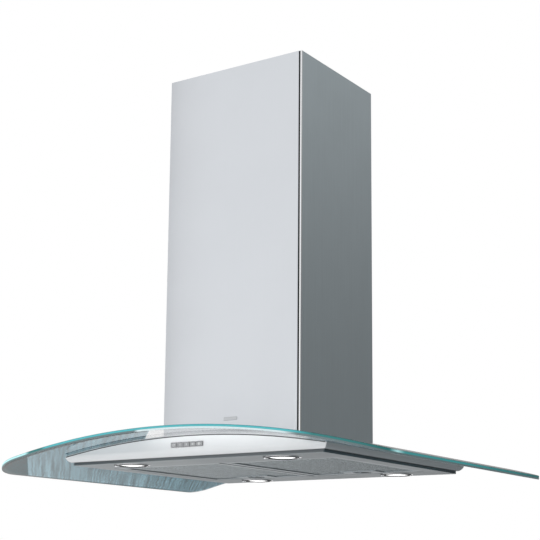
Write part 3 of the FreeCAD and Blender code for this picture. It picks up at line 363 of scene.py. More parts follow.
class Grain(Enum):
    """Way that a sheet is brushed, as the stretch of its noise along X, Y and Z."""

    UPRIGHT = (1500.0, 1500.0, 14.0)
    ACROSS = (14.0, 1500.0, 1500.0)
    BACKWARD = (1500.0, 14.0, 1500.0)
    FLAT = (900.0, 900.0, 900.0)


@dataclass(frozen=True)
class Finish:
    """What every finish has: a name and a way to make its material once."""

    name: str

    def shade(self, graph: Graph, surface: Node) -> None:
        """Fill in the surface's inputs; each kind of finish has its own way."""
        raise NotImplementedError

    def material(self) -> bpy.types.Material:
        """Make the material, or return the one that was made before.

        Returns:
            The finished material.
        """
        found = bpy.data.materials.get(self.name)
        if found:
            return found
        made = bpy.data.materials.new(self.name)
        made.use_nodes = True
        self.shade(Graph(made.node_tree), made.node_tree.nodes["Principled BSDF"])
        return made


@dataclass(frozen=True)
class BrushedSheet(Finish):
    """Stainless or plated sheet: directional grain, wiping marks and a little depth."""

    tone: Colour
    rough: float
    grain: Grain
    contrast: float
    marks: float
    metal: float = 1.0
    rough_change: float = 0.12
    wear_size: float = 6.0

    def shade(self, graph: Graph, surface: Node) -> None:
        """Grain and marks change the tone, the roughness and the normal.

        Args:
            graph: the material's graph.
            surface: its Principled node.
        """
        place = graph.place()
        brushed = graph.mapped(place, self.grain.value)
        lines = SHELF.place(graph, Effect.GRAIN, brushed, Contrast=self.contrast)
        smear = SHELF.place(graph, Effect.WEAR, place, Amount=self.marks, Size=self.wear_size)["Smear"]
        least = self.rough - self.rough_change / 2
        rough = graph.math("MULTIPLY_ADD", lines["Height"], self.rough_change, least)
        graph.fill(surface, Base_Color=graph.tint(self.tone, graph.math("SUBTRACT", lines["Tone"], smear)),
                   Metallic=self.metal, Roughness=graph.math("ADD", rough, smear),
                   Normal=graph.bump(lines["Height"], 0.25, 0.00002))


@dataclass(frozen=True)
class ShadedSheet(BrushedSheet):
    """Brushed sheet with painted shade past one level, and painted light that may make it lighter towards its
    top.
    """

    level: float = -0.8166
    softness: float = -0.0004
    # painted shade: share of the tone past the level, for a folded edge or lip that lies in shade
    painted_shade: float = 0.42
    # painted light: a lift above 1 makes the sheet lighter towards its top, where the glass above keeps light
    # off it
    lift: float = 1.0
    painted_light_from: float = -0.812
    painted_light_to: float = -0.780

    def shade(self, graph: Graph, surface: Node) -> None:
        """The brushed sheet, with its tone drawn down past the level, on the softness's side of it, as
        painted shade, and raised towards its top by the lift, as painted light.

        Args:
            graph: the material's graph.
            surface: its Principled node.
        """
        super().shade(graph, surface)
        toned = surface.inputs["Base Color"].links[0].from_socket
        height = graph.parts(graph.place())[2]
        # painted shade past the level
        drawn = graph.span(height, self.level, self.level + self.softness, 1.0, self.painted_shade)
        # painted light towards the top
        painted_top_light = graph.span(height, self.painted_light_from, self.painted_light_to, 1.0, self.lift)
        graph.fill(surface, Base_Color=graph.tint(toned, graph.times(drawn, painted_top_light)))


@dataclass(frozen=True)
class Plated(Finish):
    """Polished or satin plating with hairline polishing marks."""

    tone: Colour
    rough: float

    def shade(self, graph: Graph, surface: Node) -> None:
        """A bright metal whose gloss is broken by smears and hairlines.

        Args:
            graph: the material's graph.
            surface: its Principled node.
        """
        place = graph.place()
        smear = SHELF.place(graph, Effect.WEAR, place, Amount=0.08, Size=40.0)["Smear"]
        lines = SHELF.place(graph, Effect.GRAIN, graph.mapped(place, Grain.FLAT.value), Contrast=0.06)
        graph.fill(surface, Base_Color=graph.tint(self.tone, lines["Tone"]), Metallic=1.0,
                   Roughness=graph.math("ADD", smear, self.rough),
                   Normal=graph.bump(lines["Height"], 0.1, 0.00001))


@dataclass(frozen=True)
class Moulded(Finish):
    """Moulded plastic, rubber or lacquer with a pebbled skin."""

    tone: Colour
    rough: float
    pebble: float = 900.0
    depth: float = 0.00003
    gloss: float = 0.0

    def shade(self, graph: Graph, surface: Node) -> None:
        """Skin gives the normal, clouds the tone, and smears the roughness.

        Args:
            graph: the material's graph.
            surface: its Principled node.
        """
        place = graph.place()
        skin = SHELF.place(graph, Effect.CAST, place, Scale=self.pebble, Contrast=0.16)
        smear = SHELF.place(graph, Effect.WEAR, place, Amount=0.12, Size=25.0)["Smear"]
        graph.fill(surface, Base_Color=graph.tint(self.tone, skin["Tone"]), Coat_Weight=self.gloss,
                   Coat_Roughness=0.12, Roughness=graph.math("ADD", smear, self.rough),
                   Normal=graph.bump(skin["Height"], 0.35, self.depth))


@dataclass(frozen=True)
class CanopyGlass(Finish):
    """Float glass whose wings carry a painted reflection of a streaked blue-grey backdrop, with a painted
    dark corner and line, and a clear middle.

    Places across the pane are in metres along a way that is turned by the slant.
    """

    # painted reflection: tone is the streaked blue-grey of the wings, corner the painted dark end of the wing
    tone: Colour = (0.20, 0.32, 0.37)
    clear: Colour = (0.97, 0.98, 0.985)
    corner: Colour = (0.0, 0.04, 0.05)
    # the slant turns the painted streaks so that they stand upright from the camera
    slant: float = -43.0
    corner_end: float = -0.4873
    line_at: float = -0.4588
    line_half: float = 0.0012
    line_tone: float = 0.55
    clear_from: float = -0.2635
    clear_left: Pair = (-0.19, -0.17)
    clear_right: Pair = (0.262, 0.264)
    border: float = 0.001
    streaks: Triple = (300.0, 4.0, 1.0)
    sway: Triple = (30.0, 40.0, 1.0)
    sway_reach: float = 0.012
    rough: float = 0.02
    see_through: float = 0.72

    def shade(self, graph: Graph, surface: Node) -> None:
        """Bands and swaying lines of painted reflection, with the painted dark corner and line, run along one
        slanted way across the pane, under faint smears.

        Args:
            graph: the material's graph.
            surface: its Principled node.
        """
        place = graph.place()
        aslant = graph.mapped(place, turn=self.slant)
        across, along, _ = graph.parts(aslant)
        swayed = graph.noise(graph.mapped(aslant, self.sway), 1.0)
        lane = graph.add("ShaderNodeCombineXYZ")
        graph.fill(lane, X=graph.math("MULTIPLY_ADD", swayed, self.sway_reach, across), Y=along)
        fine = graph.noise(graph.mapped(lane.outputs[0], self.streaks), 1.0, 1.0)
        # painted reflection: streaks of a blue-grey backdrop
        painted_streaks = graph.tint(self.tone, graph.span(fine, 0.34, 0.66, 0.50, 1.50))
        # painted dark corner at the wing's outer end, and a painted dark line across the wing
        painted_corner_mask = graph.span(across, self.corner_end, self.corner_end + self.border, 1.0, 0.0)
        off_line = graph.math("ABSOLUTE", graph.math("SUBTRACT", across, self.line_at))
        line = graph.span(off_line, self.line_half / 2, self.line_half, self.line_tone, 1.0)
        painted_wing_colour = graph.tint(graph.blend(painted_corner_mask, painted_streaks, self.corner), line)
        past = graph.span(across, self.clear_from, self.clear_from + self.border, 0.0, 1.0)
        opens = graph.times(past, graph.between(graph.parts(place)[0], self.clear_left, self.clear_right))
        smear = SHELF.place(graph, Effect.WEAR, place, Amount=0.05, Size=9.0)["Smear"]
        graph.fill(surface, Base_Color=graph.blend(opens, painted_wing_colour, self.clear), Transmission_Weight=1.0,
                   IOR=1.5, Roughness=graph.math("ADD", smear, self.rough),
                   Alpha=graph.math("MULTIPLY_ADD", opens, -self.see_through, 1.0))


@dataclass(frozen=True)
class GlassEdge(Finish):
    """Ground edge of the canopy: its own teal in bands of several depths round the rim, which are painted
    reflection, with a painted highlight across its thickness and a foot of painted shade that carries a
    painted highlight along part of the rim.
    """

    # the edge's own teal, in tones whose bands round the rim are painted reflection
    pale: Colour = (0.40, 0.74, 0.76)
    light: Colour = (0.05, 0.38, 0.42)
    mid: Colour = (0.02, 0.27, 0.28)
    dark: Colour = (0.004, 0.15, 0.15)
    # painted shade on the foot, with a painted highlight along its middle stretch
    foot: Colour = (0.10, 0.15, 0.16)
    painted_highlight_foot: Colour = (0.55, 0.66, 0.68)
    foot_from: float = 0.52
    foot_full: float = 0.6
    # painted highlight across the edge's thickness, darker towards both arrises
    painted_depth_light: tuple[Pair, ...] = ((0.0, 0.45), (0.12, 0.7), (0.28, 1.1), (0.5, 0.95), (0.66, 0.5), (1.0, 0.45))
    radius: float = 1.718
    thick: float = 0.008
    front_y: float = -0.355

    def shade(self, graph: Graph, surface: Node) -> None:
        """Colour follows the way round the rim, X plus the distance from the front, and the depth; the bands,
        the lighter band across the depth and the foot are painted reflection, highlight and shade.

        Args:
            graph: the material's graph.
            surface: its Principled node.
        """
        place = graph.place()
        x, y, z = graph.parts(place)
        waved = graph.math("MULTIPLY_ADD", graph.noise(place, 9.0), 0.012, x)
        way = graph.math("ADD", waved, graph.math("SUBTRACT", y, self.front_y))
        # bands of painted reflection round the rim
        stops = [(-0.45, self.pale), (-0.332, self.pale), (-0.326, self.dark), (-0.289, self.dark),
                 (-0.283, self.light), (0.29, self.light), (0.33, self.dark), (0.50, self.dark),
                 (0.525, self.pale), (0.55, self.mid), (0.80, self.mid), (1.10, self.dark)]
        low, high = stops[0][0], stops[-1][0]
        shares = [((at - low) / (high - low), colour) for at, colour in stops]
        colour = graph.ramp(graph.span(way, low, high, 0.0, 1.0), shares)
        rise = graph.math("SUBTRACT", z, ARC_CENTRE_Z)
        reach = graph.math("SQRT", graph.math("ADD", graph.times(x, x), graph.times(rise, rise)))
        under = graph.math("DIVIDE", graph.math("SUBTRACT", self.radius, reach), self.thick)
        depth = graph.ramp(under, [(at, (grey, grey, grey)) for at, grey in self.painted_depth_light])
        toned = graph.vector("MULTIPLY", colour, depth).outputs[0]
        foot = graph.blend(graph.between(way, (-0.06, -0.05), (0.27, 0.30)), self.foot, self.painted_highlight_foot)
        footed = graph.blend(graph.span(under, self.foot_from, self.foot_full, 0.0, 1.0), toned, foot)
        grind = graph.noise(graph.mapped(place, (300.0, 300.0, 1800.0)), 1.0)
        graph.fill(surface, Base_Color=graph.tint(footed, graph.span(grind, 0.2, 0.8, 0.88, 1.12)),
                   Roughness=graph.span(grind, 0.2, 0.8, 0.25, 0.4), Coat_Weight=0.2,
                   Normal=graph.bump(grind, 0.2, 0.00003))


@dataclass(frozen=True)
class FrostedLens(Finish):
    """Frosted lamp glass that carries a soft light of its own."""

    tone: Colour
    lit: float

    def shade(self, graph: Graph, surface: Node) -> None:
        """White, etched, a little see-through, with a weak even glow.

        Args:
            graph: the material's graph.
            surface: its Principled node.
        """
        skin = SHELF.place(graph, Effect.CAST, graph.place(), Scale=1400.0, Contrast=0.05)
        glow = graph.tint(self.tone, skin["Tone"])
        graph.fill(surface, Base_Color=glow, Emission_Color=glow, Emission_Strength=self.lit,
                   Transmission_Weight=0.3, Roughness=graph.math("MULTIPLY_ADD", skin["Height"], 0.1, 0.3),
                   Normal=graph.bump(skin["Height"], 0.2, 0.00002))


@dataclass(frozen=True)
class ExpandedMesh(Finish):
    """Layered expanded aluminium of the grease filters: rows of small diamonds."""

    tone: Colour = (0.50, 0.545, 0.565)
    pitch: float = 0.0042

    def shade(self, graph: Graph, surface: Node) -> None:
        """Waves along X + Y and X - Y make the diamonds, with painted shade in the openings between them, and
        noise the uneven layers behind.

        Args:
            graph: the material's graph.
            surface: its Principled node.
        """
        place = graph.place()
        x, y, _ = graph.parts(place)
        waves = []
        for operation in ("ADD", "SUBTRACT"):
            phase = graph.times(graph.math(operation, x, y), 2 * math.pi / self.pitch)
            waves.append(graph.math("ABSOLUTE", graph.math("SINE", phase)))
        strand = graph.span(graph.math("MAXIMUM", *waves), 0.55, 0.95, 0.0, 1.0)
        cloud = graph.noise(place, 260.0, 2.0, 0.6)
        # painted shade: the openings between the strands are darker, for the shade on the layers behind; the
        # cloud makes them uneven
        shade = graph.math("MULTIPLY_ADD", strand, 0.75, graph.span(cloud, 0.36, 0.64, 0.0, 0.55))
        graph.fill(surface, Base_Color=graph.tint(self.tone, shade), Metallic=1.0,
                   Roughness=graph.span(cloud, 0.3, 0.7, 0.35, 0.55), Normal=graph.bump(shade, 0.6, 0.0006))


# ---------------------------------------------------------------- the hood's finishes
CHIMNEY = BrushedSheet("chimney steel", (0.69, 0.715, 0.75), 0.34, Grain.UPRIGHT, 0.04, 0.02)
# partly painted shade: the wrap is the front's steel in a darker, bluer tone for the shade on its sides; the
# dim room that it mirrors darkens it too
CHIMNEY_PAINTED_SHADE_SIDE = BrushedSheet("chimney side steel", (0.565, 0.645, 0.68), 0.34, Grain.UPRIGHT, 0.22, 0.04)
CHIMNEY_INNER = BrushedSheet("inner cover steel", (0.60, 0.61, 0.625), 0.34, Grain.UPRIGHT, 0.06, 0.04)
# painted shade darkens both panels' folded lower edges; lift=1.42 is painted light, making the front and rear
# panels lighter towards their top
PANEL_ACROSS = ShadedSheet("front panel steel", (0.615, 0.634, 0.648), 0.5, Grain.ACROSS, 0.04, 0.02,
                           metal=0.2, lift=1.42)
PANEL_BACKWARD = ShadedSheet("side panel steel", (0.72, 0.765, 0.79), 0.32, Grain.BACKWARD, 0.06, 0.03)
# painted shade: the tray's faces above its lower face, such as its lip, are drawn down to half tone
TRAY = ShadedSheet("tray steel", (0.275, 0.305, 0.322), 0.36, Grain.ACROSS, 0.16, 0.06,
                   level=-0.8224, softness=0.0004, painted_shade=0.5)
ZINC = BrushedSheet("zinc plate", (0.56, 0.58, 0.60), 0.42, Grain.FLAT, 0.22, 0.12)
FILTER_RIM = BrushedSheet("filter rim", (0.43, 0.465, 0.485), 0.36, Grain.BACKWARD, 0.10, 0.08)
# painted highlight: the bead on the side sheet's bent edge gets a far lighter tone than the sheet, so that it
# shows as a bright line; its low roughness is polish
HEM_PAINTED_HIGHLIGHT = Plated("polished hem", (0.92, 0.93, 0.94), 0.12)
SCREW = Plated("screw steel", (0.60, 0.60, 0.61), 0.22)
BEZEL = Plated("lamp chrome", (0.80, 0.81, 0.83), 0.07)
CUP = Plated("reflector", (0.82, 0.82, 0.82), 0.16)
STRIP = Plated("control trim", (0.46, 0.47, 0.48), 0.24)
BADGE = Plated("badge plate", (0.56, 0.58, 0.60), 0.3)
# painted shadow: near-black finish of the strip at the bottom of the chimney's corner joint
JOINT_PAINTED_SHADOW = Moulded("joint shadow", (0.012, 0.014, 0.016), 0.8)
# dark finish of the arch bead's seal; on the lamps' raised rings it is painted shade
SEAL_AND_PAINTED_SHADE = Moulded("lamp seal", (0.02, 0.022, 0.024), 0.5)
GASKET = Moulded("gasket foam", (0.80, 0.82, 0.83), 0.8, 1500.0, 0.00006)
CASING = Moulded("casing plastic", (0.05, 0.053, 0.058), 0.42)
WHEEL = Moulded("wheel plastic", (0.022, 0.022, 0.025), 0.38)
MOTOR = Moulded("motor lacquer", (0.12, 0.125, 0.135), 0.34, 500.0, 0.00002, 0.3)
ELECTRIC = Moulded("electric plastic", (0.03, 0.03, 0.033), 0.45)
CAPACITOR = Moulded("capacitor shell", (0.72, 0.72, 0.70), 0.3, 700.0, 0.00001, 0.4)
LATCH = Moulded("latch plastic", (0.055, 0.06, 0.063), 0.42)
BOARD = Moulded("board resin", (0.02, 0.11, 0.045), 0.4)
MARK = Moulded("key mark paint", (0.82, 0.84, 0.85), 0.4)
KEY = Moulded("key plastic", (0.30, 0.31, 0.32), 0.34, 1100.0, 0.00001, 0.2)
LENS = FrostedLens("lamp lens", (0.93, 0.93, 0.93), 0.95)
BULB = FrostedLens("bulb quartz", (0.9, 0.88, 0.82), 0.6)
MESH = ExpandedMesh("filter mesh")
GLASS = CanopyGlass("canopy glass")
EDGE = GlassEdge("canopy edge")

NODE_FINISHES: dict[Finish, tuple[str, ...]] = {
    CHIMNEY: ("chimney_front",),
    CHIMNEY_PAINTED_SHADE_SIDE: ("chimney_wrap",),
    CHIMNEY_INNER: ("upper_cover_front", "upper_cover_rear"),
    PANEL_ACROSS: ("front_panel", "rear_panel"),
    PANEL_BACKWARD: ("left_panel", "right_panel"),
    TRAY: ("bottom_tray",),
    ZINC: ("ceiling_plate", "upper_posts", "upper_brace", "base_plate", "lower_posts", "lower_brace",
           "blower_box", "canopy_deck", "clamp_bars", "motor_bracket", "filter_rail"),
    FILTER_RIM: tuple(f"filter_frame_{side}" for side in SIDES),
    MESH: tuple(f"filter_mesh_{side}" for side in SIDES),
    GLASS: ("glass_canopy",),
    GASKET: ("glass_gasket",),
    SCREW: ("clamp_screws", "motor_shaft", "damper_axle"),
    CASING: ("volute_left", "volute_right", "outlet_adapter", "outlet_collar", "damper_flap_left",
             "damper_flap_right"),
    WHEEL: ("impeller",),
    MOTOR: ("motor",),
    ELECTRIC: ("control_unit", "transformer", "cable_gland"),
    CAPACITOR: ("capacitor",),
    LATCH: tuple(f"filter_latch_{side}" for side in SIDES),
    BEZEL: tuple(f"lamp_bezel_{corner}" for corner in CORNERS),
    LENS: tuple(f"lamp_lens_{corner}" for corner in CORNERS),
    CUP: ("lamp_cups",),
    BULB: ("lamp_bulbs",),
    STRIP: ("control_bezel",),
    BOARD: ("switch_board",),
    KEY: tuple(f"button_{number}" for number in range(1, 6)),
}


def dress_nodes() -> None:
    """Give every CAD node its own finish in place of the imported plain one."""
    for finish, names in NODE_FINISHES.items():
        for name in names:
            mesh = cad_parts[name].data
            mesh.materials.clear()
            mesh.materials.append(finish.material())
            LOG.info("dressed %s with %s", name, finish.name)


# ---------------------------------------------------------------- surfaces
def sheet_mesh(name: str, points: np.ndarray, wrap_u: bool, wrap_v: bool) -> Mesh:
    """Mesh of quads over a grid of points.

    Face (i, j) joins the points (i, j), (i, j+1), (i+1, j+1) and (i+1, j), with the last row or
    column joined to the first where it wraps.

    Args:
        name: the mesh's name.
        points: array of shape (rows, columns, 3), in metres.
        wrap_u: whether the last row joins the first.
        wrap_v: whether the last column joins the first.

    Returns:
        The mesh, with its doubles merged and its faces turned outwards.
    """
    rows, columns = points.shape[:2]
    i = np.arange(rows if wrap_u else rows - 1)[:, None]
    j = np.arange(columns if wrap_v else columns - 1)[None, :]
    after_i, after_j = (i + 1) % rows, (j + 1) % columns
    quads = np.stack([i * columns + j, i * columns + after_j, after_i * columns + after_j,
                      after_i * columns + j], axis=-1).reshape(-1, 4)
    mesh = bpy.data.meshes.new(name)
    mesh.from_pydata(points.reshape(-1, 3).tolist(), [], quads.tolist())
    work = bmesh.new()
    work.from_mesh(mesh)
    bmesh.ops.remove_doubles(work, verts=work.verts, dist=1e-7)
    bmesh.ops.dissolve_degenerate(work, edges=work.edges, dist=1e-8)
    bmesh.ops.recalc_face_normals(work, faces=work.faces)
    work.to_mesh(mesh)
    work.free()
    return mesh


def add_piece(name: str, mesh: Mesh, body: str, *finishes: Finish, crease: float = 30.0) -> Piece:
    """Put a mesh into the scene as a piece of the hood.

    Args:
        name: the piece's name.
        mesh: its mesh, in the hood's own metres.
        body: the body that it moves with.
        finishes: its finishes, in the order of its material numbers.
        crease: angle in degrees above which an edge stays sharp.

    Returns:
        The piece.
    """
    mesh.name = name
    mesh.polygons.foreach_set("use_smooth", np.ones(len(mesh.polygons), dtype=bool))
    mesh.set_sharp_from_angle(angle=math.radians(crease))
    for finish in finishes:
        mesh.materials.append(finish.material())
    piece = bpy.data.objects.new(name, mesh)
    bpy.context.scene.collection.objects.link(piece)
    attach(piece, body)
    LOG.info("built %s: %d faces on %s", name, len(mesh.polygons), body)
    return piece


def face_values(mesh: Mesh, name: str) -> np.ndarray:
    """Centres or normals of all faces.

    Args:
        mesh: the mesh.
        name: "center" or "normal".

    Returns:
        Array of shape (faces, 3).
    """
    values = np.empty(len(mesh.polygons) * 3)
    mesh.polygons.foreach_get(name, values)
    return values.reshape(-1, 3)


def rounded_loop(half: Pair, front: float, rear: float, side: int = 48, bend: int = 12) -> np.ndarray:
    """Closed outline of a rectangle with quarter-circle corners.

    Each corner is an arc of its radius about a centre set in by that radius, and the sides join
    the arcs with evenly spaced points, so loops of different sizes match point by point.

    Args:
        half: half the width and half the depth.
        front: radius of the two corners at -Y.
        rear: radius of the two corners at +Y.
        side: points along each side.
        bend: points round each corner.

    Returns:
        Array of shape (points, 2), anticlockwise.
    """
    turn = np.linspace(0.0, math.pi / 2, bend + 1)
    ways = np.array([(1, 1), (-1, 1), (-1, -1), (1, -1)])
    radii = np.array([rear, rear, front, front])
    centres = ways * (np.array(half) - radii[:, None])
    arcs = []
    for q in range(4):
        angle = turn + q * math.pi / 2
        arcs.append(centres[q] + radii[q] * np.stack([np.cos(angle), np.sin(angle)], 1))
    share = np.linspace(0.0, 1.0, side + 1)[1:-1, None]
    parts = []
    for q in range(4):
        parts += [arcs[q], arcs[q][-1] * (1 - share) + arcs[(q + 1) % 4][0] * share]
    return np.concatenate(parts)


def turned_mesh(name: str, profile: list[Pair], centre: Pair, steps: int) -> Mesh:
    """Mesh of a profile turned about an upright axis.

    Point (i, j) stands at the centre plus radius i times (cos, sin) of j turns over the steps, at height i.

    Args:
        name: the mesh's name.
        profile: radius and height of each point, in metres, round the section.
        centre: the axis's X and Y.
        steps: points round the axis.

    Returns:
        The mesh; a profile that starts and ends off the axis closes on itself.
    """
    turn = np.linspace(0.0, 2 * math.pi, steps, endpoint=False)
    radius, height = (np.array(column)[:, None] for column in zip(*profile))
    points = np.stack([centre[0] + radius * np.cos(turn), centre[1] + radius * np.sin(turn),
                       height + 0.0 * turn], axis=-1)
    return sheet_mesh(name, points, profile[0][0] > 0.0 and profile[-1][0] > 0.0, True)


def joined_mesh(name: str, parts: list[Mesh]) -> Mesh:
    """One mesh made of several, whose own meshes are deleted.

    Args:
        name: the new mesh's name.
        parts: the meshes to join.

    Returns:
        The joined mesh.
    """
    work = bmesh.new()
    for part in parts:
        work.from_mesh(part)
        bpy.data.meshes.remove(part)
    whole = bpy.data.meshes.new(name)
    work.to_mesh(whole)
    work.free()
    return whole


def bar_mesh(name: str, section: list[Pair], low: float, high: float) -> Mesh:
    """Upright bar: a plan outline carried from one height to another, with both ends filled.

    Point (i, j) is outline point j at height i; the two ends are one face each.

    Args:
        name: the mesh's name.
        section: X and Y of each point of the outline, anticlockwise.
        low: height of the lower end.
        high: height of the upper end.

    Returns:
        The closed mesh.
    """
    count = len(section)
    rings = [np.column_stack([np.array(section), np.full(count, z)]) for z in (low, high)]
    j = np.arange(count)
    sides = np.stack([j, (j + 1) % count, (j + 1) % count + count, j + count], axis=-1)
    faces = sides.tolist() + [list(range(count))[::-1], list(range(count, 2 * count))]
    mesh = bpy.data.meshes.new(name)
    mesh.from_pydata(np.concatenate(rings).tolist(), [], faces)
    return mesh


def box_section(low: Pair, high: Pair) -> list[Pair]:
    """Corners of a rectangle from its lowest and highest corner, anticlockwise."""
    return [low, (high[0], low[1]), high, (low[0], high[1])]


@dataclass
class Canopy:
    """The arched pane, rebuilt with an even surface and a softened ground edge."""

    half: Pair = (0.450, 0.355)
    thick: float = 0.008
    radius: float = 1.718
    front_corner: float = 0.081
    rear_corner: float = 0.034
    arris: float = 0.0012
    arris_steps: int = 4
    hole: Pair = (0.152, 0.127)
    hole_corner: float = 0.006
    rings: int = 26
    rim_margin: float = 0.02
    rim_steepness: float = 0.55

    def section(self) -> tuple[np.ndarray, np.ndarray]:
        """Loops of the pane from the hole's top edge, over and round the rim, and back.

        Returns:
            The plan loops, and how far each lies under the upper face.
        """
        inner = rounded_loop(self.hole, self.hole_corner, self.hole_corner)
        turn = np.linspace(0, math.pi / 2, self.arris_steps)
        fall = (self.arris * (1 - np.cos(turn))).tolist()
        outer = [rounded_loop((self.half[0] - d, self.half[1] - d), self.front_corner - d,
                              self.rear_corner - d) for d in self.arris * (1 - np.sin(turn))]
        top = [inner * (1 - s) + outer[0] * s for s in np.linspace(0.0, 1.0, self.rings)]
        loops = top + outer[1:] + outer[::-1][:-1] + top[::-1]
        under = [self.thick - f for f in fall[::-1][:-1]] + [self.thick] * len(top)
        drops = [0.0] * len(top) + fall[1:] + under
        return np.stack(loops), np.array(drops)[:, None]

    def build(self) -> None:
        """Make the pane. Its height at X is that of the arc's circle, its radius less by the drop."""
        plan, drop = self.section()
        height = ARC_CENTRE_Z + np.sqrt((self.radius - drop) ** 2 - plan[..., 0] ** 2)
        mesh = sheet_mesh("canopy_pane", np.concatenate([plan, height[..., None]], axis=-1), True, True)
        piece = add_piece("canopy_pane", mesh, "hood", GLASS, EDGE)
        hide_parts("glass_canopy")
        self.mark_rim(mesh)

    def mark_rim(self, mesh: Mesh) -> None:
        """Give the edge's finish to the faces that stand upright round the outside.

        Args:
            mesh: the pane's mesh.
        """
        normals, centres = face_values(mesh, "normal"), face_values(mesh, "center")
        outside = (np.abs(centres[:, :2]) > np.array(self.hole) + self.rim_margin).any(axis=1)
        rim = outside & (np.hypot(normals[:, 0], normals[:, 1]) > self.rim_steepness)
        mesh.polygons.foreach_set("material_index", rim.astype(np.int32))


@dataclass
class Lamp:
    """One down-light: satin flange, raised ring whose sides carry painted shade in a dark seal's finish,
    frosted dome and a small catch.
    """

    name: str
    x: float
    y: float
    tray_z: float = -0.823
    flange: float = 0.0345
    ring: float = 0.0302
    throat: float = 0.0266
    proud: float = 0.0024
    barrel: float = 0.0280
    barrel_wall: float = 0.0014
    barrel_top: float = -0.8072
    dome_gap: float = 0.0003
    dome_low: float = 0.0021
    dome_rise: float = 0.0020
    catch_round: float = 0.0030
    catch_reach: float = 0.0328
    catch_turn: float = 225.0
    steps: int = 72

    def trim(self) -> None:
        """Ring section: flange, step, crest, dish into the throat, and the barrel in the tray."""
        z, crest = self.tray_z, self.tray_z - self.proud
        flange, ring, throat = self.flange, self.ring, self.throat
        barrel, inside = self.barrel, self.barrel - self.barrel_wall
        profile = [(flange, z - 0.0001), (flange - 0.0002, z - 0.0006), (flange - 0.0008, z - 0.0008),
                   (ring + 0.0008, z - 0.0009), (ring, z - 0.0011), (ring - 0.0002, crest + 0.0003),
                   (ring - 0.0010, crest), (ring - 0.0020, crest), (throat + 0.0010, crest + 0.0011),
                   (throat, crest + 0.0022), (throat, z + 0.0042), (throat - 0.0015, z + 0.0043),
                   (throat - 0.0015, z + 0.0054), (inside, z + 0.0054), (inside, self.barrel_top),
                   (barrel, self.barrel_top), (barrel, z - 0.0001)]
        mesh = turned_mesh("lamp_trim", profile, (self.x, self.y), self.steps)
        piece = add_piece(f"lamp_trim_{self.name}", mesh, "hood", BEZEL, SEAL_AND_PAINTED_SHADE, crease=24.0)
        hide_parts(f"lamp_bezel_{self.name}")
        self.mark_painted_shade(mesh)

    def mark_painted_shade(self, mesh: Mesh) -> None:
        """Give the raised ring, all but its crest, the dark seal's finish as painted shade.

        Args:
            mesh: the trim's mesh.
        """
        x, y, z = face_values(mesh, "center").T
        reach = np.hypot(x - self.x, y - self.y)
        crest = z < self.tray_z - self.proud + 0.0001
        ring = (reach < self.ring + 0.0009) & (reach > self.throat - 0.0001) & (z < self.tray_z + 0.004)
        # painted shade: the ring's sides below its crest
        mesh.polygons.foreach_set("material_index", (ring & ~crest).astype(np.int32))

    def dome(self) -> None:
        """Lens: a shallow bowl, height rising with the square of the radius, closed on top by a flat."""
        radii = np.linspace(0.0, self.throat - self.dome_gap, 12)
        low = self.tray_z - self.dome_low
        bowl = [(r, low + self.dome_rise * (r / radii[-1]) ** 2) for r in radii]
        bowl += [(radii[-1], self.tray_z + 0.0040), (0.0, self.tray_z + 0.0041)]
        mesh = turned_mesh("lamp_dome", bowl, (self.x, self.y), self.steps)
        piece = add_piece(f"lamp_dome_{self.name}", mesh, "hood", LENS)
        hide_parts(f"lamp_lens_{self.name}")

    def catch(self) -> None:
        """Round catch at the ring's side: a domed stud in a dark washer."""
        turn = math.radians(self.catch_turn)
        centre = (self.x + self.catch_reach * math.cos(turn), self.y + self.catch_reach * math.sin(turn))
        r, z = self.catch_round, self.tray_z - 0.0009
        washer = [(r + 0.0014, z), (r + 0.0014, z - 0.0009), (r + 0.0006, z - 0.0012), (0.0, z - 0.0012)]
        stud = [(r, z - 0.0008), (r, z - 0.0022), (r - 0.0006, z - 0.0030), (r - 0.0016, z - 0.0035),
                (0.0, z - 0.0037)]
        for part, profile, finish in (("washer", washer, CASING), ("stud", stud, BEZEL)):
            mesh = turned_mesh("lamp_catch", [(0.0, z + 0.0002)] + profile, centre, 24)
            piece = add_piece(f"lamp_{part}_{self.name}", mesh, "hood", finish)

    def build(self) -> None:
        """Make the whole lamp."""
        self.trim()
        self.dome()
        self.catch()


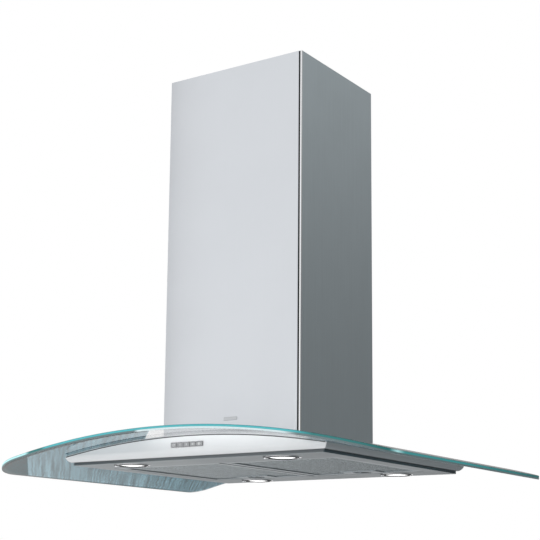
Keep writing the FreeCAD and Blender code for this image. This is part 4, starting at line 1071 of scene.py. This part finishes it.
@dataclass
class ChimneyTrim:
    """Front cover, the hem and joint at its corner, the panel's bead, and a small blank badge."""

    left: float = -0.1641
    right: float = 0.1574
    face_y: float = -0.1420
    sheet: float = 0.0010
    low: float = -0.7753
    high: float = -0.0015
    hem: Pair = (0.1604, 0.1642)
    hem_depth: float = 0.0032
    joint_depth: Pair = (0.0008, 0.00095)
    joint_inset: float = 0.0005
    bead_half: float = 0.3030
    bead_y: float = -0.2776
    bead_radius: float = 1.7067
    bead_steps: int = 81
    badge_x: float = 0.0022
    badge_z: float = -0.7325
    badge_half: Pair = (0.0160, 0.0034)
    badge_corner: float = 0.0012
    badge_thick: float = 0.0006

    def cover(self) -> None:
        """Flat sheet with a small bend at its two upright edges."""
        y, s = self.face_y, self.sheet
        section = [(self.left, y + s), (self.left, y + 0.4 * s), (self.left + 0.4 * s, y),
                   (self.right - 0.6 * s, y), (self.right - 0.15 * s, y + 0.15 * s),
                   (self.right, y + 0.6 * s), (self.right, y + s)]
        mesh = bar_mesh("front_cover", section, self.low, self.high)
        piece = add_piece("front_cover", mesh, "hood", CHIMNEY, crease=50.0)
        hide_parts("chimney_front")

    def corner(self) -> None:
        """Half-round bead of painted highlight on the side sheet's front edge, and a near-black strip of
        painted shadow at the bottom of the joint beside it.
        """
        hem_left, hem_right = self.hem
        half = (hem_right - hem_left) / 2
        turn = np.linspace(math.pi, 2 * math.pi, 13)
        nose = [(hem_left + half * (1 + math.cos(a)), self.face_y + half * (1 + math.sin(a))) for a in turn]
        tail = self.face_y + self.hem_depth
        bead = bar_mesh("corner_hem", nose + [(hem_right, tail), (hem_left, tail)], self.low, self.high)
        # painted highlight: the bead's light finish stands for the bright bend
        piece = add_piece("corner_hem", bead, "hood", HEM_PAINTED_HIGHLIGHT, crease=50.0)
        front, back = (self.face_y + depth for depth in self.joint_depth)
        section = box_section((self.right - self.joint_inset, front), (hem_left + 0.0006, back))
        # painted shadow: near-black strip at the bottom of the joint
        strip = bar_mesh("joint_shadow_strip", section, self.low + self.joint_inset, self.high - self.joint_inset)
        piece = add_piece("joint_shadow_strip", strip, "hood", JOINT_PAINTED_SHADOW)

    def arch_bead(self) -> None:
        """Thin dark seal along the front panel's arched top.

        Height is that of a circle at x; the section is a small four-sided one carried along x.
        """
        x = np.linspace(-self.bead_half, self.bead_half, self.bead_steps)
        top = ARC_CENTRE_Z + np.sqrt(self.bead_radius ** 2 - x ** 2)
        section = [(0.0, 0.0003), (-0.0006, 0.0001), (-0.0007, -0.0008), (0.0, -0.0011)]
        rows = [np.stack([x, np.full_like(x, self.bead_y + dy), top + dz], axis=-1) for dy, dz in section]
        piece = add_piece("arch_bead", sheet_mesh("arch_bead", np.stack(rows), True, False), "hood", SEAL_AND_PAINTED_SHADE)

    def badge(self) -> None:
        """Blank plate with rounded corners and a raised rim: its outline drawn in and out, step by step."""
        rows = []
        for inset, out in ((0.0, 0.0), (0.0, 0.0005), (0.0003, 0.0008), (0.0008, 0.0008), (0.0010, 0.0006)):
            bend = self.badge_corner - inset / 2
            loop = rounded_loop((self.badge_half[0] - inset, self.badge_half[1] - inset), bend, bend, 2, 4)
            rows.append(np.column_stack([self.badge_x + loop[:, 0], np.full(len(loop), self.face_y - out),
                                         self.badge_z + loop[:, 1]]))
        for place, out in ((len(rows), self.badge_thick), (0, 0.0)):
            middle = [[self.badge_x, self.face_y - out, self.badge_z]]
            rows.insert(place, np.repeat(middle, len(rows[0]), axis=0))
        mesh = sheet_mesh("badge_plate", np.stack(rows), False, True)
        piece = add_piece("badge_plate", mesh, "hood", BADGE)

    def build(self) -> None:
        """Make the cover, the corner, the bead and the badge."""
        self.cover()
        self.corner()
        self.arch_bead()
        self.badge()


@dataclass
class KeyMarks:
    """Plain raised marks on the five push buttons."""

    pitch: float = 0.0148
    face_y: float = -0.2799
    middle_z: float = -0.7960
    raised: float = 0.00012
    stroke: float = 0.00045
    reach: float = 0.0024
    bar_pitch: float = 0.0014
    ring_steps: int = 25
    open_share: float = 0.8

    def bar(self, x: float, z: float, half_x: float, half_z: float) -> Mesh:
        """Small flat block that stands on a button's face.

        Args:
            x: its middle's X.
            z: its middle's height.
            half_x: half its width.
            half_z: half its height.

        Returns:
            Its mesh.
        """
        section = box_section((x - half_x, self.face_y - self.raised), (x + half_x, self.face_y))
        return bar_mesh("mark_bar", section, z - half_z, z + half_z)

    def ring(self, x: float, share: float) -> Mesh:
        """Flat ring or part of one: a rectangle carried round an arc that is centred on the bottom.

        Args:
            x: its middle's X.
            share: the arc's share of a turn.

        Returns:
            Its mesh.
        """
        turn = math.pi * (1.5 - share) + np.linspace(0.0, 2 * math.pi * share, self.ring_steps)
        rows = []
        inner = self.reach - self.stroke
        for r, out in ((self.reach, 0.0), (self.reach, 1.0), (inner, 1.0), (inner, 0.0)):
            rows.append(np.stack([x + r * np.cos(turn), np.full_like(turn, self.face_y - out * self.raised),
                                  self.middle_z + r * np.sin(turn)], axis=-1))
        return sheet_mesh("mark_ring", np.stack(rows), True, False)

    def build(self) -> None:
        """One mark for each button: an open ring with a bar, one to three bars, a ring with a dot."""
        z, reach = self.middle_z, self.reach
        for number in range(1, 6):
            x = (number - 3) * self.pitch
            if number == 1:
                parts = [self.ring(x, self.open_share),
                         self.bar(x, z + 0.6 * reach, self.stroke / 2, 0.5 * reach)]
            elif number == 5:
                parts = [self.ring(x, 1.0), self.bar(x, z, 0.3 * reach, 0.3 * reach)]
            else:
                count = number - 1
                places = [x + (k - (count - 1) / 2) * self.bar_pitch for k in range(count)]
                parts = [self.bar(place, z, self.stroke / 2, 0.8 * reach) for place in places]
            piece = add_piece(f"key_mark_{number}", joined_mesh("mark", parts), f"key_{number}", MARK)


@dataclass
class FilterPad:
    """Expanded-metal pad of one grease filter, with its diamonds as real relief."""

    side: str
    inner_x: float = 0.0138
    outer_x: float = 0.2538
    front_y: float = -0.1615
    back_y: float = 0.1660
    low_z: float = -0.8207
    high_z: float = -0.8157
    pitch: float = 0.0052
    lean: float = 0.6
    relief: float = 0.0011
    unevenness: float = 0.0003
    cell: float = 0.00125
    back_area: float = 0.01

    def build(self) -> None:
        """Height of the lower face is the larger of two crossed waves; the rest is a plain slab."""
        across = int((self.outer_x - self.inner_x) / self.cell) + 1
        along = int((self.back_y - self.front_y) / self.cell) + 1
        x, y = np.meshgrid(np.linspace(self.inner_x, self.outer_x, across),
                           np.linspace(self.front_y, self.back_y, along), indexing="ij")
        waves = [np.abs(np.sin((x + way * self.lean * y) * math.pi / self.pitch)) for way in (1, -1)]
        wander = 0.5 + 0.5 * np.sin(x * 61.0 + 1.7) * np.sin(y * 47.0 + 0.4)
        height = self.low_z + self.relief * (1.0 - np.maximum(*waves) ** 2) + self.unevenness * wander
        height[[0, -1], :] = self.high_z
        height[:, [0, -1]] = self.high_z
        flip = -1.0 if self.side == "left" else 1.0
        lower = sheet_mesh("pad_face", np.stack([flip * x, y, height], axis=-1), False, False)
        corners = box_section((self.inner_x, self.front_y), (self.outer_x, self.back_y))
        upper = bpy.data.meshes.new("pad_back")
        upper.from_pydata([(flip * cx, cy, self.high_z) for cx, cy in corners], [], [[0, 1, 2, 3]])
        mesh = joined_mesh("filter_pad", [lower, upper])
        self.face_down(mesh)
        piece = add_piece(f"filter_pad_{self.side}", mesh, f"filter_{self.side}", MESH, crease=40.0)
        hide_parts(f"filter_mesh_{self.side}")

    def face_down(self, mesh: Mesh) -> None:
        """Turn the relief's faces down and the large back face up.

        Args:
            mesh: the pad's mesh.
        """
        work = bmesh.new()
        work.from_mesh(mesh)
        for face in work.faces:
            if (face.normal.z > 0) != (face.calc_area() > self.back_area):
                face.normal_flip()
        work.to_mesh(mesh)
        work.free()


# ---------------------------------------------------------------- studio
@dataclass
class Studio:
    """Pale floor, soft light and the camera at the photograph's angle."""

    floor_level: float = -2.35
    floor_reach: float = 7.0
    floor_rings: int = 12
    floor_steps: int = 96
    eye: Triple = (1.47746, -2.21194, -1.04706)
    yaw: float = 33.75
    pitch: float = 10.28
    roll: float = 0.52
    picture_px: float = 540.0
    focal_px: float = 1300.0
    centre_y_px: float = 345.6
    sensor_mm: float = 36.0
    shade_side: Triple = (0.556, 0.831, 0.0)
    shade_level: float = 0.2
    room_turn: Pair = (-0.35, 0.75)

    def floor(self) -> None:
        """Round floor that the camera sees from above only."""
        turn = np.linspace(0, 2 * math.pi, self.floor_steps, endpoint=False)
        reach = np.linspace(0.0, self.floor_reach, self.floor_rings)[:, None]
        points = np.stack([reach * np.cos(turn), reach * np.sin(turn),
                           self.floor_level + 0.0 * reach * turn], axis=-1)
        mesh = sheet_mesh("studio_floor", points, False, True)
        if face_values(mesh, "normal")[:, 2].mean() < 0:
            mesh.flip_normals()
        material = bpy.data.materials.new("studio floor")
        material.use_nodes = True
        graph = Graph(material.node_tree)
        surface = material.node_tree.nodes["Principled BSDF"]
        mirrored_ray = graph.add("ShaderNodeLightPath").outputs["Is Glossy Ray"]
        fall = graph.span(graph.toward(graph.place(), self.shade_side), 0.2, 1.6, 0.0, 1.0)
        mirrored = graph.blend(fall, (0.9, 0.9, 0.9), (0.16, 0.17, 0.175))
        graph.fill(surface, Base_Color=graph.blend(mirrored_ray, (0.88, 0.88, 0.88), mirrored), Roughness=0.9)
        mixed = graph.add("ShaderNodeMixShader")
        shaders = (graph.add("ShaderNodeNewGeometry").outputs["Backfacing"], surface.outputs[0],
                   graph.add("ShaderNodeBsdfTransparent").outputs[0])
        for socket, value in zip(mixed.inputs, shaders):
            graph.feed(socket, value)
        graph.feed(material.node_tree.nodes["Material Output"].inputs["Surface"], mixed.outputs[0])
        mesh.materials.append(material)
        floor = bpy.data.objects.new("studio_floor", mesh)
        bpy.context.scene.collection.objects.link(floor)

    def world(self) -> None:
        """White round the object; metal sees a soft room that is dimmer on the right and behind."""
        world = bpy.data.worlds.new("studio")
        bpy.context.scene.world = world
        world.use_nodes = True
        graph = Graph(world.node_tree)
        way = graph.add("ShaderNodeTexCoord").outputs["Generated"]
        toward = graph.toward(way, self.shade_side)
        height = graph.parts(way)[2]
        wall = graph.span(toward, *self.room_turn, 1.0, self.shade_level)
        lift = graph.span(toward, *self.room_turn, -0.12, 0.55)
        walled = graph.math("MULTIPLY_ADD", graph.span(height, 0.2, 0.62, 0.0, 1.0), lift, wall)
        band = graph.between(height, (-0.24, -0.20), (-0.04, 0.0))
        behind = graph.times(band, graph.span(toward, 0.55, 0.7, 1.0, 0.0))
        rays = graph.add("ShaderNodeLightPath").outputs
        seen = graph.math("MAXIMUM", rays["Is Camera Ray"], rays["Is Transmission Ray"])
        mirrored = graph.times(rays["Is Glossy Ray"], graph.math("MAXIMUM", walled, behind))
        spread = graph.math("SUBTRACT", 1.0, rays["Is Glossy Ray"])
        level = graph.math("MAXIMUM", seen, graph.math("ADD", mirrored, spread))
        white = graph.tint((1.0, 1.0, 1.0), level)
        graph.fill(world.node_tree.nodes["Background"], Color=white, Strength=1.0)

    def lamp(self, name: str, place: Triple, target: Triple, size: float, power: float) -> None:
        """Soft square light that isn't mirrored in the metal.

        Args:
            name: its name.
            place: where it stands.
            target: what it points at.
            size: length of its side in metres.
            power: in watts.
        """
        data = bpy.data.lights.new(name, "AREA")
        data.shape = "SQUARE"
        data.size = size
        data.energy = power
        light = bpy.data.objects.new(name, data)
        light.visible_glossy = False
        light.location = place
        light.rotation_euler = (Vector(target) - Vector(place)).to_track_quat("-Z", "Y").to_euler()
        bpy.context.scene.collection.objects.link(light)

    def camera(self) -> None:
        """Camera fitted to the photograph: place, turn, lens and a small upward shift."""
        data = bpy.data.cameras.new("camera")
        data.sensor_width = self.sensor_mm
        data.lens = self.focal_px / self.picture_px * self.sensor_mm
        data.shift_y = (self.centre_y_px - self.picture_px / 2) / self.picture_px
        data.clip_start, data.clip_end = 0.05, 60.0
        yaw, pitch, roll = (math.radians(v) for v in (self.yaw, self.pitch, self.roll))
        ahead = Vector((-math.sin(yaw) * math.cos(pitch), math.cos(yaw) * math.cos(pitch), math.sin(pitch)))
        right = Vector((math.cos(yaw), math.sin(yaw), 0.0))
        up = right.cross(ahead)
        turned_right = right * math.cos(roll) + up * math.sin(roll)
        turned_up = up * math.cos(roll) - right * math.sin(roll)
        turn = Matrix((turned_right, turned_up, -ahead)).transposed().to_4x4()
        eye = bpy.data.objects.new("camera", data)
        eye.matrix_world = Matrix.Translation(Vector(self.eye)) @ turn
        bpy.context.scene.collection.objects.link(eye)
        bpy.context.scene.camera = eye

    def build(self) -> None:
        """Set the whole studio up."""
        self.floor()
        self.world()
        self.lamp("key light", (-2.2, -3.0, 1.6), (0.0, 0.0, -0.5), 2.4, 14.0)
        self.lamp("fill light", (2.6, -2.2, 0.2), (0.0, 0.0, -0.6), 2.0, 3.0)
        self.lamp("low light", (-1.6, -2.6, -1.7), (0.0, -0.2, -0.8), 1.6, 26.0)
        self.camera()
        bpy.context.scene.view_settings.view_transform = "Standard"


def main() -> None:
    """Build the hood's looks in order."""
    logging.basicConfig(level=logging.INFO, format="%(message)s")
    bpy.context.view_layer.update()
    dress_nodes()
    Canopy().build()
    ChimneyTrim().build()
    KeyMarks().build()
    for across, side in zip((-1, 1), SIDES):
        for along, end in zip((-1, 1), ENDS):
            Lamp(f"{end}_{side}", across * LAMP_X, along * LAMP_Y).build()
        FilterPad(side).build()
    Studio().build()


if __name__ == "__main__":
    main()
